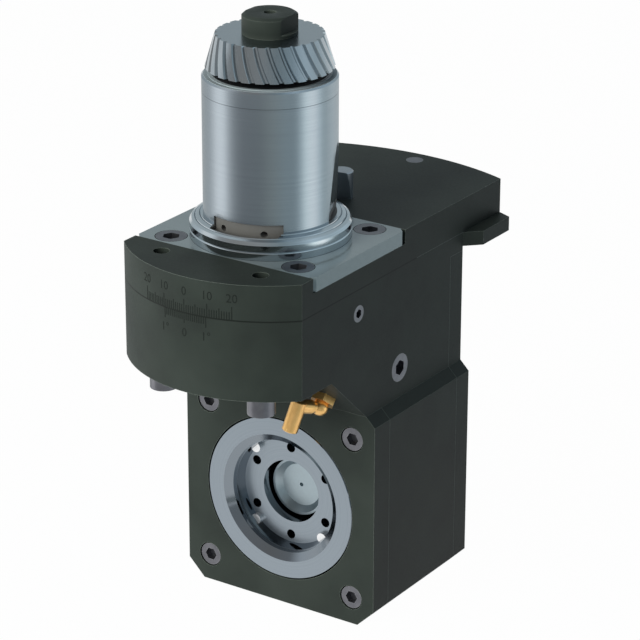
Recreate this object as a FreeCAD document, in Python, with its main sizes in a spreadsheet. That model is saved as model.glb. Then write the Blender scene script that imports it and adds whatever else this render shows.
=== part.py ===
import FreeCAD, Part
import math
import os
import re

import Sketcher
from FreeCAD import Placement, Rotation, Vector

# Thread whirling unit for a turning machine's driven station, in millimetres.
# Z is the axis of the clamping shank and of the swivel, Y the axis of the whirling
# spindle, and z = 0 is the face that seats on the turret. The spindle looks towards -Y.

SIZES = {
    # Shank and what is mounted on it
    "shank_dia": 55,
    "shank_foot_dia": 54,
    "shank_top": 68,
    "end_ring_height": 7.8,
    "seal_dia": 50,
    "seal_height": 2.6,
    "collar_dia": 66.2,
    "collar_height": 9.5,
    "collar_groove": 0.4,
    "collar_seat_depth": 2,
    "shank_chamfer": 0.8,
    "flat_depth": 2.2,
    "flat_rise": 32,
    "flat_azimuth": 25,
    "relief_base": 7,
    "relief_height": 6,
    "relief_depth": 1.1,
    "relief_reach": 3,
    "relief_start": 9.8,
    "relief_width": 29.4,
    "port_dia": 2.6,
    "left_port_x": 4.9,
    "right_port_x": 12.8,
    # Upper plate and the steel flange plate let into it
    "plate_width": 87,
    "plate_thickness": 15.2,
    "front_radius": 60,
    "rear_radius": 118,
    "flange_depth": 67.2,
    "flange_thickness": 6.2,
    "flange_corner": 2.3,
    "pilot_dia": 66,
    "pilot_height": 8.5,
    "locating_pin_dia": 10,
    "locating_pin_height": 12,
    "locating_pin_offset": 52,
    "locating_pin_stem_dia": 8,
    "locating_pin_land": 5,
    "locating_pin_relief": 0.8,
    # Swivel body
    "block_bottom": 49.3,
    "underside_start": 20.5,
    "front_y": 5.4,
    "head_top": 73.3,
    "head_height": 97,
    "head_overhang": 4.25,
    "bottom_chamfer": 7.9,
    "head_depth": 74,
    "front_cover_thickness": 11.5,
    "rear_cover_thickness": 9.7,
    "rear_cover_top": 23.3,
    "lug_thickness": 6.2,
    "lug_overhang": 6.3,
    # Swivel clamping
    "clamp_circle": 48.4,
    "clamp_angle": 30,
    "rear_clamp_circle": 109.8,
    "swivel_limit": 20,
    "slot_width": 9,
    "clamp_stem_dia": 6.8,
    "clamp_head_dia": 11.5,
    "clamp_head_height": 8,
    "washer_thickness": 1.6,
    "rear_plug_dia": 7.4,
    "rear_plug_depth": 2,
    # Whirling spindle
    "ring_dia": 73.2,
    "ring_thickness": 7.5,
    "ring_gap": 0.5,
    "seat_mouth_dia": 57.8,
    "seat_step_dia": 51.2,
    "seat_floor_dia": 47.6,
    "seat_depth": 8.8,
    "seat_pilot_length": 2,
    "spindle_bore_dia": 28.2,
    "tool_circle_dia": 40.6,
    "tool_screw_dia": 4.2,
    "tool_screw_depth": 10,
    "drive_pin_circle_dia": 48,
    "drive_pin_dia": 4.6,
    "drive_pin_length": 6,
    "spindle_dia": 60,
    "spindle_collar_dia": 64,
    "spindle_seal_dia": 71,
    "spindle_bearing_dia": 84,
    "cap_gap": 1.2,
    "cap_inset": 5.4,
    "cap_dish": 2.6,
    "cap_rim": 1,
    "cap_wall": 3,
    "cap_face_dia": 19,
    "cap_centre_dia": 1.8,
    # Gear train
    "gear_module": 2,
    "counter_teeth": 26,
    "spindle_teeth": 40,
    "spur_width": 12,
    "spur_start": 36,
    "mitre_teeth": 24,
    "mitre_radius": 13.5,
    "mitre_face": 5.5,
    "drive_teeth": 30,
    "drive_gear_base": 70.5,
    "drive_gear_face": 14,
    "drive_gear_low_dia": 54.6,
    "drive_gear_top_dia": 44,
    "drive_tooth_depth": 3.4,
    "drive_tooth_twist": 22,
    # Shafts and bearings
    "drive_shaft_dia": 20,
    "gear_seat_dia": 18,
    "shaft_nose_dia": 9,
    "shaft_collar_dia": 26,
    "drive_bearing_dia": 45,
    "drive_bearing_width": 14,
    "lower_bearing_width": 12,
    "lower_bearing_start": 8,
    "race_thickness": 3.5,
    "circlip_thickness": 1.5,
    "counter_shaft_dia": 16,
    "counter_bearing_dia": 36,
    "counter_race": 3,
    "counter_bearing_width": 10,
    "counter_bearing_start": 18,
    "spindle_bearing_start": 18,
    "spindle_bearing_width": 14,
    "rear_bearing_start": 52,
    "rear_bearing_width": 12,
    "spindle_nut_thickness": 4,
    "spindle_race": 4,
    # Gear bolt on top
    "bolt_head_dia": 22.6,
    "bolt_head_height": 10,
    "bolt_head_flat": 19,
    "bolt_ledge": 3,
    "bolt_chamfer": 1,
    "bolt_stem_dia": 10,
    "bolt_stem_length": 24,
    "bolt_centre_dia": 5,
    "key_width": 5,
    "key_length": 10,
    # Screws
    "cover_screw_pitch": 73,
    "screw_head_dia": 10,
    "screw_head_height": 6,
    "screw_stem_dia": 6,
    "counterbore_dia": 11,
    "counterbore_depth": 6.5,
    "cover_stem_length": 12,
    "flange_screw_x": 31.2,
    "flange_screw_y": 25.9,
    "flange_head_dia": 13,
    "flange_head_height": 5,
    "flange_stem_dia": 8,
    "flange_stem_length": 9,
    "set_screw_dia": 7,
    "set_screw_y": -0.8,
    "set_screw_drop": 25.6,
    "side_plug_dia": 12,
    "side_plug_y": 30.7,
    "side_plug_drop": 60.1,
    # Coolant nozzle
    "nozzle_inset": 13.5,
    "nozzle_stem_length": 7,
    "nozzle_reach": 6.5,
    "nozzle_slide": 14.4,
    "nozzle_ball_dia": 9,
    "nozzle_hex": 5.4,
    "nozzle_base_thickness": 3,
    "nozzle_arm_dia": 7.4,
    "nozzle_arm_length": 10.4,
    "nozzle_arm_turn_angle": 140.8,
    "nozzle_arm_lift_angle": 4.4,
    "nozzle_tube_dia": 6,
    "nozzle_tube_length": 19.6,
    "nozzle_tube_turn_angle": 245.5,
    "nozzle_tube_lift_angle": 25.8,
    "nozzle_bore_dia": 2.6,
    # Clearances
    "running_gap": 0.05,
    "free_gap": 1,
    "rim_gap": 0.3,
}

WAYS = {
    "up": Vector(0, 0, 1),
    "down": Vector(0, 0, -1),
    "front": Vector(0, -1, 0),
    "back": Vector(0, 1, 0),
    "right": Vector(1, 0, 0),
}

ALONG_Y = Rotation(Vector(1, 0, 0), -90)
FULL_TURN = 360

# Shares that screws and gear teeth keep at any size
SOCKET_DEPTH = 0.55
SOCKET_SIZE = 0.58
ROOT_GAP = 0.2
TIP_GAP = 0.46
SPIRAL_ROOT_GAP = 0.1
SPIRAL_TIP_GAP = 0.27
MITRE_TIP = 1.09
MITRE_ROOT = 0.85
MITRE_HUB = 0.8

doc = FreeCAD.newDocument("ThreadWhirlingUnit")
sheet = doc.addObject("Spreadsheet::Sheet", "Size")
for row, (alias, size) in enumerate(SIZES.items(), 1):
    sheet.set(f"A{row}", str(size))
    sheet.setAlias(f"A{row}", alias)
doc.recompute()

# Places that several pieces share, as expressions of the sizes
SPINDLE_DROP = "(head_top + head_height / 2)"
SPUR_CENTRES = "(gear_module * (counter_teeth + spindle_teeth) / 2)"
COUNTER_DROP = f"({SPINDLE_DROP} - {SPUR_CENTRES})"
HALF_WIDTH = "(plate_width / 2)"
HALF_HEAD = "(plate_width / 2 + head_overhang)"
HEAD_BOTTOM = "(head_top + head_height)"
REAR_Y = "(front_y + head_depth)"
BLOCK_FRONT = "(front_y + front_cover_thickness)"
BLOCK_REAR = f"({REAR_Y} - rear_cover_thickness)"
LUG_BOTTOM = "(plate_thickness + lug_thickness)"
FLANGE_HALF = "(flange_depth / 2)"
SEAT_FLOOR = "(front_y + seat_depth)"
RING_BACK = "(front_y + ring_thickness)"
SPUR_END = "(spur_start + spur_width)"
SHANK_SEAM = "(shank_top - end_ring_height)"
SHANK_FOOT = "(plate_thickness + pilot_height)"
GEAR_UNDERSIDE = "(shank_top + seal_height / 2)"
GEAR_TOP = "(drive_gear_base + drive_gear_face)"
COVER_SCREW = "(cover_screw_pitch / 2)"
SIDE_SCREW = "((plate_width - pilot_dia) / 3)"
REAR_BEARING = f"(2 * ({SPUR_CENTRES} - counter_bearing_dia / 2 - 5 * free_gap))"
CAP_FRONT = f"({SEAT_FLOOR} + cap_inset)"

nodes = []


def sized(text):
    """Expression with every size written as a cell of the sheet."""
    return re.sub(r"[a-z]\w*", lambda word: "Size." + word[0] if word[0] in SIZES else word[0], str(text))


def value(text):
    """Number that an expression of the sizes gives."""
    return float(sheet.evalExpression(sized(text)))


def bind(part, **expressions):
    for name, text in expressions.items():
        part.setExpression(name, sized(text))


def place(part, at, rotation=Rotation()):
    """Put a part at an (x, y, z) of expressions, turned by a fixed rotation."""
    part.Placement = Placement(Vector(*[value(text) for text in at]), rotation)
    for letter, text in zip("xyz", at):
        part.setExpression(f".Placement.Base.{letter}", sized(text))
    return part


def node(part, label):
    """Name a finished piece. The name is also the name of its file."""
    part.Label = label
    nodes.append(part)
    return part


def negative(text):
    return f"-({text})"


def total(*texts):
    return " + ".join(f"({text})" for text in texts)


def shifted(at, way, distance):
    """Point that lies a distance along a direction from another point."""
    return [f"{base} + {step} * ({distance})" for base, step in zip(at, tuple(WAYS[way]))]


# Primitives


def rod(name, at, way, dia, length):
    """Cylinder from a point along a direction."""
    part = doc.addObject("Part::Cylinder", name)
    bind(part, Radius=f"({dia}) / 2", Height=length)
    return place(part, at, Rotation(Vector(0, 0, 1), WAYS[way]))


def block(name, at, size):
    """Box from its lowest corner."""
    part = doc.addObject("Part::Box", name)
    bind(part, Length=size[0], Width=size[1], Height=size[2])
    return place(part, at)


def hexagon(name, at, way, across_corners, length):
    """Hexagonal bar from a point along a direction."""
    part = doc.addObject("Part::Prism", name)
    part.Polygon = 6
    bind(part, Circumradius=f"({across_corners}) / 2", Height=length)
    return place(part, at, Rotation(Vector(0, 0, 1), WAYS[way]))


def fused(name, *parts):
    joined = doc.addObject("Part::MultiFuse", name)
    joined.Shapes = list(parts)
    return joined


def cut(name, base, *tools):
    result = doc.addObject("Part::Cut", name)
    result.Base = base
    result.Tool = tools[0] if len(tools) == 1 else fused(name + "_tools", *tools)
    return result


def group(label, parts):
    """Several loose solids kept together as one node."""
    compound = doc.addObject("Part::Compound", label)
    compound.Links = parts
    return node(compound, label)


# Sketched bodies


def new_body(name):
    return doc.addObject("PartDesign::Body", name)


def origin_part(body, role):
    return next(item for item in body.Origin.OriginFeatures if item.Role == role)


def sketch(body, name, plane, corners, arcs=None, lift="0", turn="0"):
    """Closed outline on an origin plane, through corners given as expressions.

    arcs gives, for the side that starts at a corner's number, the radius of an arc about
    the sketch's origin. A corner on such an arc is held by its x alone.
    """
    arcs = arcs or {}
    drawing = body.newObject("Sketcher::SketchObject", name)
    drawing.AttachmentSupport = (origin_part(body, plane), [""])
    drawing.MapMode = "FlatFace"
    drawing.AttachmentOffset = Placement(Vector(), Rotation(Vector(0, 0, 1), 1))
    drawing.setExpression(".AttachmentOffset.Base.z", sized(lift))
    drawing.setExpression(".AttachmentOffset.Rotation.Angle", sized(turn))
    points = [Vector(value(x), value(y), 0) for x, y in corners]
    count = len(points)
    for side, start in enumerate(points):
        end = points[(side + 1) % count]
        if side in arcs:
            circle = Part.Circle(Vector(), Vector(0, 0, 1), value(arcs[side]))
            angles = [math.atan2(point.y, point.x) for point in (start, end)]
            drawing.addGeometry(Part.ArcOfCircle(circle, *angles))
        else:
            drawing.addGeometry(Part.LineSegment(start, end))
    for side in range(count):
        drawing.addConstraint(Sketcher.Constraint("Coincident", side, 2, (side + 1) % count, 1))
    for side, radius in arcs.items():
        drawing.addConstraint(Sketcher.Constraint("Coincident", side, 3, -1, 1))
        hold(drawing, Sketcher.Constraint("Radius", side, value(radius)), radius)
    for corner, (x, y) in enumerate(corners):
        hold(drawing, Sketcher.Constraint("DistanceX", -1, 1, corner, 1, points[corner].x), x)
        if corner not in arcs and (corner - 1) % count not in arcs:
            hold(drawing, Sketcher.Constraint("DistanceY", -1, 1, corner, 1, points[corner].y), y)
    return drawing


def hold(drawing, constraint, text):
    """Add a constraint whose value follows an expression."""
    number = drawing.addConstraint(constraint)
    drawing.setExpression(f"Constraints[{number}]", sized(text))


def pad(body, name, drawing, length, midplane=False):
    feature = body.newObject("PartDesign::Pad", name)
    feature.Profile = drawing
    feature.Midplane = midplane
    bind(feature, Length=length)
    return feature


def turned(name, profile, at=("0", "0", "0"), rotation=Rotation()):
    """Body of revolution about its own Z, from (radius, height) corners."""
    body = new_body(name)
    drawing = sketch(body, name + "_profile", "XZ_Plane", profile)
    feature = body.newObject("PartDesign::Revolution", name + "_turned")
    feature.Profile = drawing
    feature.ReferenceAxis = (drawing, ["V_Axis"])
    feature.Angle = FULL_TURN
    return place(body, at, rotation)


def turned_y(name, profile, drop):
    """Body of revolution about a horizontal axis along Y, at a depth below z = 0."""
    return turned(name, profile, ("0", "0", negative(drop)), ALONG_Y)


def tube(outer, inner, start, end):
    """Profile of a plain ring or tube."""
    return [(f"{inner}", start), (f"{outer}", start), (f"{outer}", end), (f"{inner}", end)]


def solid_steps(*steps):
    """Profile of a solid stepped shaft from (radius, start, end) steps in order."""
    profile = [("0", steps[0][1])]
    for radius, start, end in steps:
        profile += [(radius, start), (radius, end)]
    return profile + [("0", steps[-1][2])]


def polar(body, name, features, occurrences):
    """Repeat cuts evenly about the body's own Z."""
    pattern = body.newObject("PartDesign::PolarPattern", name)
    pattern.Originals = features
    pattern.Axis = (origin_part(body, "Z_Axis"), [""])
    pattern.Angle = FULL_TURN
    bind(pattern, Occurrences=occurrences)
    body.Tip = pattern
    return pattern


def tooth_gap(root, tip, pitch, root_share, tip_share):
    """Corners of the gap between two teeth, across the X axis."""
    root_half = f"{root_share} * {pitch}"
    tip_half = f"{tip_share} * {pitch}"
    return [(root, negative(root_half)), (tip, negative(tip_half)), (tip, tip_half), (root, root_half)]


# Screws


def socket_screw(name, at, way, head_dia, head_height, stem_dia, stem_length):
    """Socket head screw whose head ends at a point and looks along a direction."""
    head_start = shifted(at, way, negative(head_height))
    head = rod(name + "_head", head_start, way, head_dia, head_height)
    stem_start = shifted(at, way, negative(total(head_height, stem_length)))
    stem = rod(name + "_stem", stem_start, way, stem_dia, stem_length)
    socket_start = shifted(at, way, negative(f"{SOCKET_DEPTH} * {head_height}"))
    socket = hexagon(name + "_socket", socket_start, way, f"{SOCKET_SIZE} * {head_dia}", head_height)
    return cut(name, fused(name + "_solid", head, stem), socket)


def socket_plug(name, at, way, dia, length):
    """Headless screw with a hexagon socket, whose outer end is at a point."""
    barrel = rod(name + "_barrel", shifted(at, way, negative(length)), way, dia, length)
    socket_start = shifted(at, way, negative(f"{SOCKET_DEPTH} * {length}"))
    socket = hexagon(name + "_socket", socket_start, way, f"{SOCKET_SIZE} * {dia}", length)
    return cut(name, barrel, socket)


def signs():
    """The four corners of a rectangular pattern."""
    return [(x, y) for x in (-1, 1) for y in (-1, 1)]


COVER_SCREW_PLACES = [(f"{x} * {COVER_SCREW}", f"{y} * {COVER_SCREW} - {SPINDLE_DROP}") for x, y in signs()]
NECK_SCREW_PLACES = [(f"{x} * {COVER_SCREW}", "-rear_cover_top - counterbore_dia") for x in (-1, 1)]
FLANGE_SCREW_PLACES = [(f"{x} * flange_screw_x", f"{y} * flange_screw_y") for x, y in signs()]
FRONT_CLAMPS = [
    (f"{side} * clamp_circle * sin(clamp_angle)", "-clamp_circle * cos(clamp_angle)") for side in (-1, 1)
]
REAR_CLAMP = ("0", "rear_clamp_circle")
SIDE_FITTINGS = {
    "set_screw": ("set_screw_y", "-set_screw_drop", "set_screw_dia"),
    "coolant_plug": ("side_plug_y", "-side_plug_drop", "side_plug_dia"),
}


# Upper unit: what is clamped in the turret


def relief_pocket(name):
    """Cutter for the pocket that runs from the shank into the top of its collar."""
    inner = "shank_dia / 2 - relief_depth"
    outer = "shank_dia / 2 + relief_reach"
    ring = turned(name + "_ring", tube(outer, inner, "relief_base", "relief_base + relief_height"))
    corner = ("-relief_start", "-collar_dia", "relief_base")
    window = block(name + "_window", corner, ("relief_width", "collar_dia", "relief_height"))
    pocket = doc.addObject("Part::Common", name)
    pocket.Base = ring
    pocket.Tool = window
    return pocket


def build_shank():
    """Hollow shank with bearing seats, clamping flat, relief and coolant ports."""
    radius = "shank_dia / 2"
    foot = "shank_foot_dia / 2"
    seat = "drive_bearing_dia / 2"
    throat = "(drive_bearing_dia / 2 - race_thickness)"
    upper_seat = f"{SHANK_SEAM} - drive_bearing_width"
    sleeve = turned(
        "shank_sleeve_blank",
        [
            (seat, negative(SHANK_FOOT)),
            (foot, negative(SHANK_FOOT)),
            (foot, "collar_height"),
            (radius, "collar_height"),
            (radius, SHANK_SEAM),
            (seat, SHANK_SEAM),
            (seat, upper_seat),
            (throat, upper_seat),
            (throat, "-lower_bearing_start"),
            (seat, "-lower_bearing_start"),
        ],
    )
    base = "collar_height"
    slope = math.degrees(math.atan(value("flat_depth / flat_rise")))
    flat = doc.addObject("Part::Box", "clamping_flat")
    bind(flat, Length="shank_dia", Width="shank_dia", Height="flat_rise")
    facing = Rotation(Vector(0, 0, 1), value("flat_azimuth"))
    reach = facing.multVec(Vector(value(f"{radius} - flat_depth"), value("-shank_dia / 2"), value(base)))
    flat.Placement = Placement(reach, facing * Rotation(Vector(0, 1, 0), slope))
    port_height = "relief_base + 0.3 * relief_height"
    ports = [
        rod("port", (x, negative(radius), port_height), "back", "port_dia", "3 * race_thickness")
        for x in ("-left_port_x", "right_port_x")
    ]
    node(cut("shank_sleeve", sleeve, flat, relief_pocket("shank_relief"), *ports), "shank_sleeve")


def build_shank_fittings():
    """End ring, seal, circlip and the stepped collar at the foot of the shank."""
    seal = "seal_dia / 2"
    counterbore = "shank_top - seal_height + rim_gap"
    node(
        turned(
            "end_ring",
            [
                ("drive_bearing_dia / 2 - race_thickness", SHANK_SEAM),
                ("shank_dia / 2", SHANK_SEAM),
                ("shank_dia / 2", "shank_top - shank_chamfer"),
                ("shank_dia / 2 - shank_chamfer", "shank_top"),
                (seal, "shank_top"),
                (seal, counterbore),
                ("drive_bearing_dia / 2 - race_thickness", counterbore),
            ],
        ),
        "end_ring",
    )
    seal_inner = "shaft_collar_dia / 2 + rim_gap"
    node(turned("shaft_seal", tube(seal, seal_inner, counterbore, "shank_top + rim_gap")), "shaft_seal")
    bearing_end = "-lower_bearing_start - lower_bearing_width"
    outer = "drive_bearing_dia / 2"
    circlip = tube(outer, f"{outer} - race_thickness", f"{bearing_end} - circlip_thickness", bearing_end)
    node(turned("lower_circlip", circlip), "lower_circlip")
    bore = "shank_foot_dia / 2"
    rim = "collar_dia / 2"
    width = "((collar_dia - shank_dia) / 2)"
    groove = "collar_height * 0.3"
    collar = turned(
        "collar_blank",
        [
            (bore, "-collar_seat_depth"),
            (rim, "-collar_seat_depth"),
            (rim, groove),
            (f"{rim} - collar_groove", f"{groove} + collar_groove"),
            (rim, f"{groove} + 2 * collar_groove"),
            (rim, "collar_height * 0.66"),
            (f"{rim} - {width} * 0.16", "collar_height * 0.8"),
            (f"{rim} - {width} * 0.36", "collar_height * 0.86"),
            (f"{rim} - {width} * 0.4", "collar_height * 0.82"),
            (f"{rim} - {width} * 0.44", "collar_height * 0.9"),
            (f"{rim} - {width} * 0.72", "collar_height * 0.96"),
            (f"{rim} - {width} * 0.76", "collar_height * 0.92"),
            (f"{rim} - {width} * 0.8", "collar_height"),
            (bore, "collar_height"),
        ],
    )
    node(cut("shank_collar", collar, relief_pocket("collar_relief")), "shank_collar")


def build_flange_plate():
    """Steel plate that seats on the turret, let into the upper plate."""
    body = new_body("flange_plate_blank")
    half_x = HALF_WIDTH
    inner_x = f"({HALF_WIDTH} - flange_corner)"
    inner_y = f"({FLANGE_HALF} - flange_corner)"
    corners = [
        (half_x, negative(inner_y)),
        (half_x, inner_y),
        (inner_x, FLANGE_HALF),
        (negative(inner_x), FLANGE_HALF),
        (negative(half_x), inner_y),
        (negative(half_x), negative(inner_y)),
        (negative(inner_x), negative(FLANGE_HALF)),
        (inner_x, negative(FLANGE_HALF)),
    ]
    drawing = sketch(body, "flange_outline", "XY_Plane", corners, lift="-flange_thickness")
    pad(body, "flange_pad", drawing, "flange_thickness")
    centre = ("0", "0", "0")
    tools = [
        rod("flange_bore", centre, "down", "shank_foot_dia", "flange_thickness"),
        rod("collar_seat", centre, "down", "collar_dia + 2 * running_gap", "collar_seat_depth"),
    ]
    for x, y in FLANGE_SCREW_PLACES:
        head_space = "flange_head_dia + 2 * rim_gap"
        tools.append(rod("flange_counterbore", (x, y, "0"), "down", head_space, "flange_head_height"))
        tools.append(rod("flange_hole", (x, y, "0"), "down", "flange_stem_dia", "flange_thickness"))
    node(cut("flange_plate", body, *tools), "flange_plate")
    screws = [
        socket_screw(
            "flange_screw", (x, y, "0"), "up", "flange_head_dia", "flange_head_height", "flange_stem_dia",
            "flange_stem_length",
        )
        for x, y in FLANGE_SCREW_PLACES
    ]
    group("flange_screws", screws)


def arc_corner(x, radius):
    """Height of a point at x on a circle about the swivel axis."""
    return f"sqrt(({radius})^2 - ({x})^2)"


def build_upper_plate():
    """Black plate between turret and swivel body, with the graduated front arc."""
    body = new_body("upper_plate_blank")
    front = arc_corner(HALF_WIDTH, "front_radius")
    rear = arc_corner(HALF_WIDTH, "rear_radius")
    corners = [
        (negative(HALF_WIDTH), negative(front)),
        (HALF_WIDTH, negative(front)),
        (HALF_WIDTH, rear),
        (negative(HALF_WIDTH), rear),
    ]
    arcs = {0: "front_radius", 2: "rear_radius"}
    drawing = sketch(body, "plate_outline", "XY_Plane", corners, arcs, lift="-plate_thickness")
    pad(body, "plate_pad", drawing, "plate_thickness")
    pilot = rod("pilot", ("0", "0", negative(SHANK_FOOT)), "up", "pilot_dia", "pilot_height + 1")
    slot = block(
        "flange_slot",
        (negative("plate_width"), negative(FLANGE_HALF), "-flange_thickness"),
        ("2 * plate_width", "flange_depth", "2 * flange_thickness"),
    )
    tools = [slot, rod("plate_bore", ("0", "0", negative(SHANK_FOOT)), "up", "shank_foot_dia", SHANK_FOOT)]
    for x, y in FLANGE_SCREW_PLACES:
        screw_length = "flange_head_height + flange_stem_length"
        tools.append(rod("flange_thread", (x, y, "0"), "down", "flange_stem_dia", screw_length))
    for x, y in FRONT_CLAMPS:
        tools.append(rod("clamp_thread", (x, y, "0"), "down", "clamp_stem_dia", "plate_thickness"))
    tools.append(rod("rear_thread", (*REAR_CLAMP, "0"), "down", "clamp_stem_dia", "plate_thickness"))
    tools.append(rod("plug_seat", (*REAR_CLAMP, "0"), "down", "rear_plug_dia", "rear_plug_depth"))
    pin_at = ("0", "locating_pin_offset", "0")
    tools.append(rod("pin_seat", pin_at, "down", "locating_pin_stem_dia", "flange_thickness"))
    node(cut("upper_plate", fused("plate_and_pilot", body, pilot), *tools), "upper_plate")
    node(rod("rear_plug", (*REAR_CLAMP, "0"), "down", "rear_plug_dia", "rear_plug_depth"), "rear_plug")
    radius = "locating_pin_dia / 2"
    stem = "locating_pin_stem_dia / 2"
    pin = turned(
        "locating_pin",
        [
            ("0", "-flange_thickness"),
            (stem, "-flange_thickness"),
            (stem, "0"),
            (radius, "0"),
            (radius, "locating_pin_land"),
            (f"{radius} - locating_pin_relief", "locating_pin_height"),
            ("0", "locating_pin_height"),
        ],
        pin_at,
    )
    node(pin, "locating_pin")


def build_clamping():
    """Screws and washers that clamp the swivel body up against the upper plate."""
    front_screws = []
    washers = []
    for x, y in FRONT_CLAMPS:
        face = (x, y, "-block_bottom - washer_thickness - clamp_head_height")
        front_screws.append(
            socket_screw(
                "front_clamp", face, "down", "clamp_head_dia", "clamp_head_height", "clamp_stem_dia",
                "washer_thickness + block_bottom - flange_thickness / 2",
            )
        )
        washers.append((x, y, "-block_bottom"))
    group("front_clamp_screws", front_screws)
    rear_face = (*REAR_CLAMP, f"-{LUG_BOTTOM} - washer_thickness - clamp_head_height")
    rear_screw = socket_screw(
        "rear_clamp_screw", rear_face, "down", "clamp_head_dia", "clamp_head_height", "clamp_stem_dia",
        f"washer_thickness + {LUG_BOTTOM} - rear_plug_depth",
    )
    node(rear_screw, "rear_clamp_screw")
    washers.append((*REAR_CLAMP, negative(LUG_BOTTOM)))
    rings = []
    for at in washers:
        disc = rod("washer_disc", at, "down", "clamp_head_dia + free_gap", "washer_thickness")
        hole = rod("washer_hole", at, "down", "clamp_stem_dia", "washer_thickness")
        rings.append(cut("washer", disc, hole))
    group("clamp_washers", rings)


# Swivel head: the body that tilts the whirling spindle to the thread's helix


def head_outline():
    """Octagonal outline of the gearbox, seen along the spindle."""
    top = negative("head_top")
    bottom = negative(HEAD_BOTTOM)
    upper = f"(-head_top - head_overhang)"
    lower = f"(-{HEAD_BOTTOM} + bottom_chamfer)"
    foot = f"({HALF_HEAD} - bottom_chamfer)"
    right = [(foot, bottom), (HALF_HEAD, lower), (HALF_HEAD, upper), (HALF_WIDTH, top)]
    left = [(negative(x), y) for x, y in reversed(right)]
    return right + left


def banana_slot(name, circle, middle, top, depth):
    """Cutter for a slot on an arc about the swivel axis, as wide as a clamp screw needs."""
    sweep = "(2 * swivel_limit)"
    start = f"({middle} - swivel_limit)"
    sector = doc.addObject("Part::Cylinder", name + "_outer")
    bind(sector, Radius=f"{circle} + slot_width / 2", Height=depth, Angle=sweep)
    core = rod(name + "_inner", ("0", "0", negative(top)), "down", f"2 * {circle} - slot_width", depth)
    sector.Placement = Placement(Vector(), Rotation(Vector(0, 0, 1), value(start)))
    sector.setExpression(".Placement.Rotation.Angle", sized(start))
    sector.setExpression(".Placement.Base.z", sized(f"-({top}) - ({depth})"))
    ring = cut(name + "_ring", sector, core)
    ends = []
    for angle in (start, f"({middle} + swivel_limit)"):
        at = (f"({circle}) * cos({angle})", f"({circle}) * sin({angle})", negative(top))
        ends.append(rod(name + "_end", at, "down", "slot_width", depth))
    return fused(name, ring, *ends)


def swivel_blank():
    """Outer form of the swivel body: arc block, neck with sloped underside, gearbox and rear lug."""
    body = new_body("swivel_blank")
    front = arc_corner(HALF_WIDTH, "front_radius")
    arc_outline = [
        (negative(HALF_WIDTH), negative(front)),
        (HALF_WIDTH, negative(front)),
        (HALF_WIDTH, "0"),
        (negative(HALF_WIDTH), "0"),
    ]
    arcs = {0: "front_radius"}
    drawing = sketch(body, "arc_outline", "XY_Plane", arc_outline, arcs, lift="-block_bottom")
    pad(body, "arc_block", drawing, "block_bottom - plate_thickness")
    neck_outline = [
        ("-underside_start", "-block_bottom"),
        ("front_y", "-head_top"),
        (BLOCK_REAR, "-head_top"),
        (BLOCK_REAR, "-rear_cover_top"),
        (REAR_Y, "-rear_cover_top"),
        (REAR_Y, "-plate_thickness"),
        ("-underside_start", "-plate_thickness"),
    ]
    drawing = sketch(body, "neck_outline", "YZ_Plane", neck_outline)
    pad(body, "neck", drawing, "plate_width", midplane=True)
    drawing = sketch(body, "gearbox_outline", "XZ_Plane", head_outline(), lift=negative(BLOCK_REAR))
    pad(body, "gearbox", drawing, f"{BLOCK_REAR} - {BLOCK_FRONT}")
    lug_half = f"({HALF_WIDTH} + lug_overhang)"
    rear = arc_corner(lug_half, "rear_radius")
    lug_outline = [
        (lug_half, f"{REAR_Y} + lug_overhang"),
        (lug_half, rear),
        (negative(lug_half), rear),
        (negative(lug_half), f"{REAR_Y} + lug_overhang"),
        (negative(HALF_WIDTH), REAR_Y),
        (negative(HALF_WIDTH), f"{REAR_Y} - lug_overhang"),
        (HALF_WIDTH, f"{REAR_Y} - lug_overhang"),
        (HALF_WIDTH, REAR_Y),
    ]
    arcs = {1: "rear_radius"}
    drawing = sketch(body, "lug_outline", "XY_Plane", lug_outline, arcs, lift=negative(LUG_BOTTOM))
    pad(body, "rear_lug", drawing, "lug_thickness")
    return body


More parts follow.
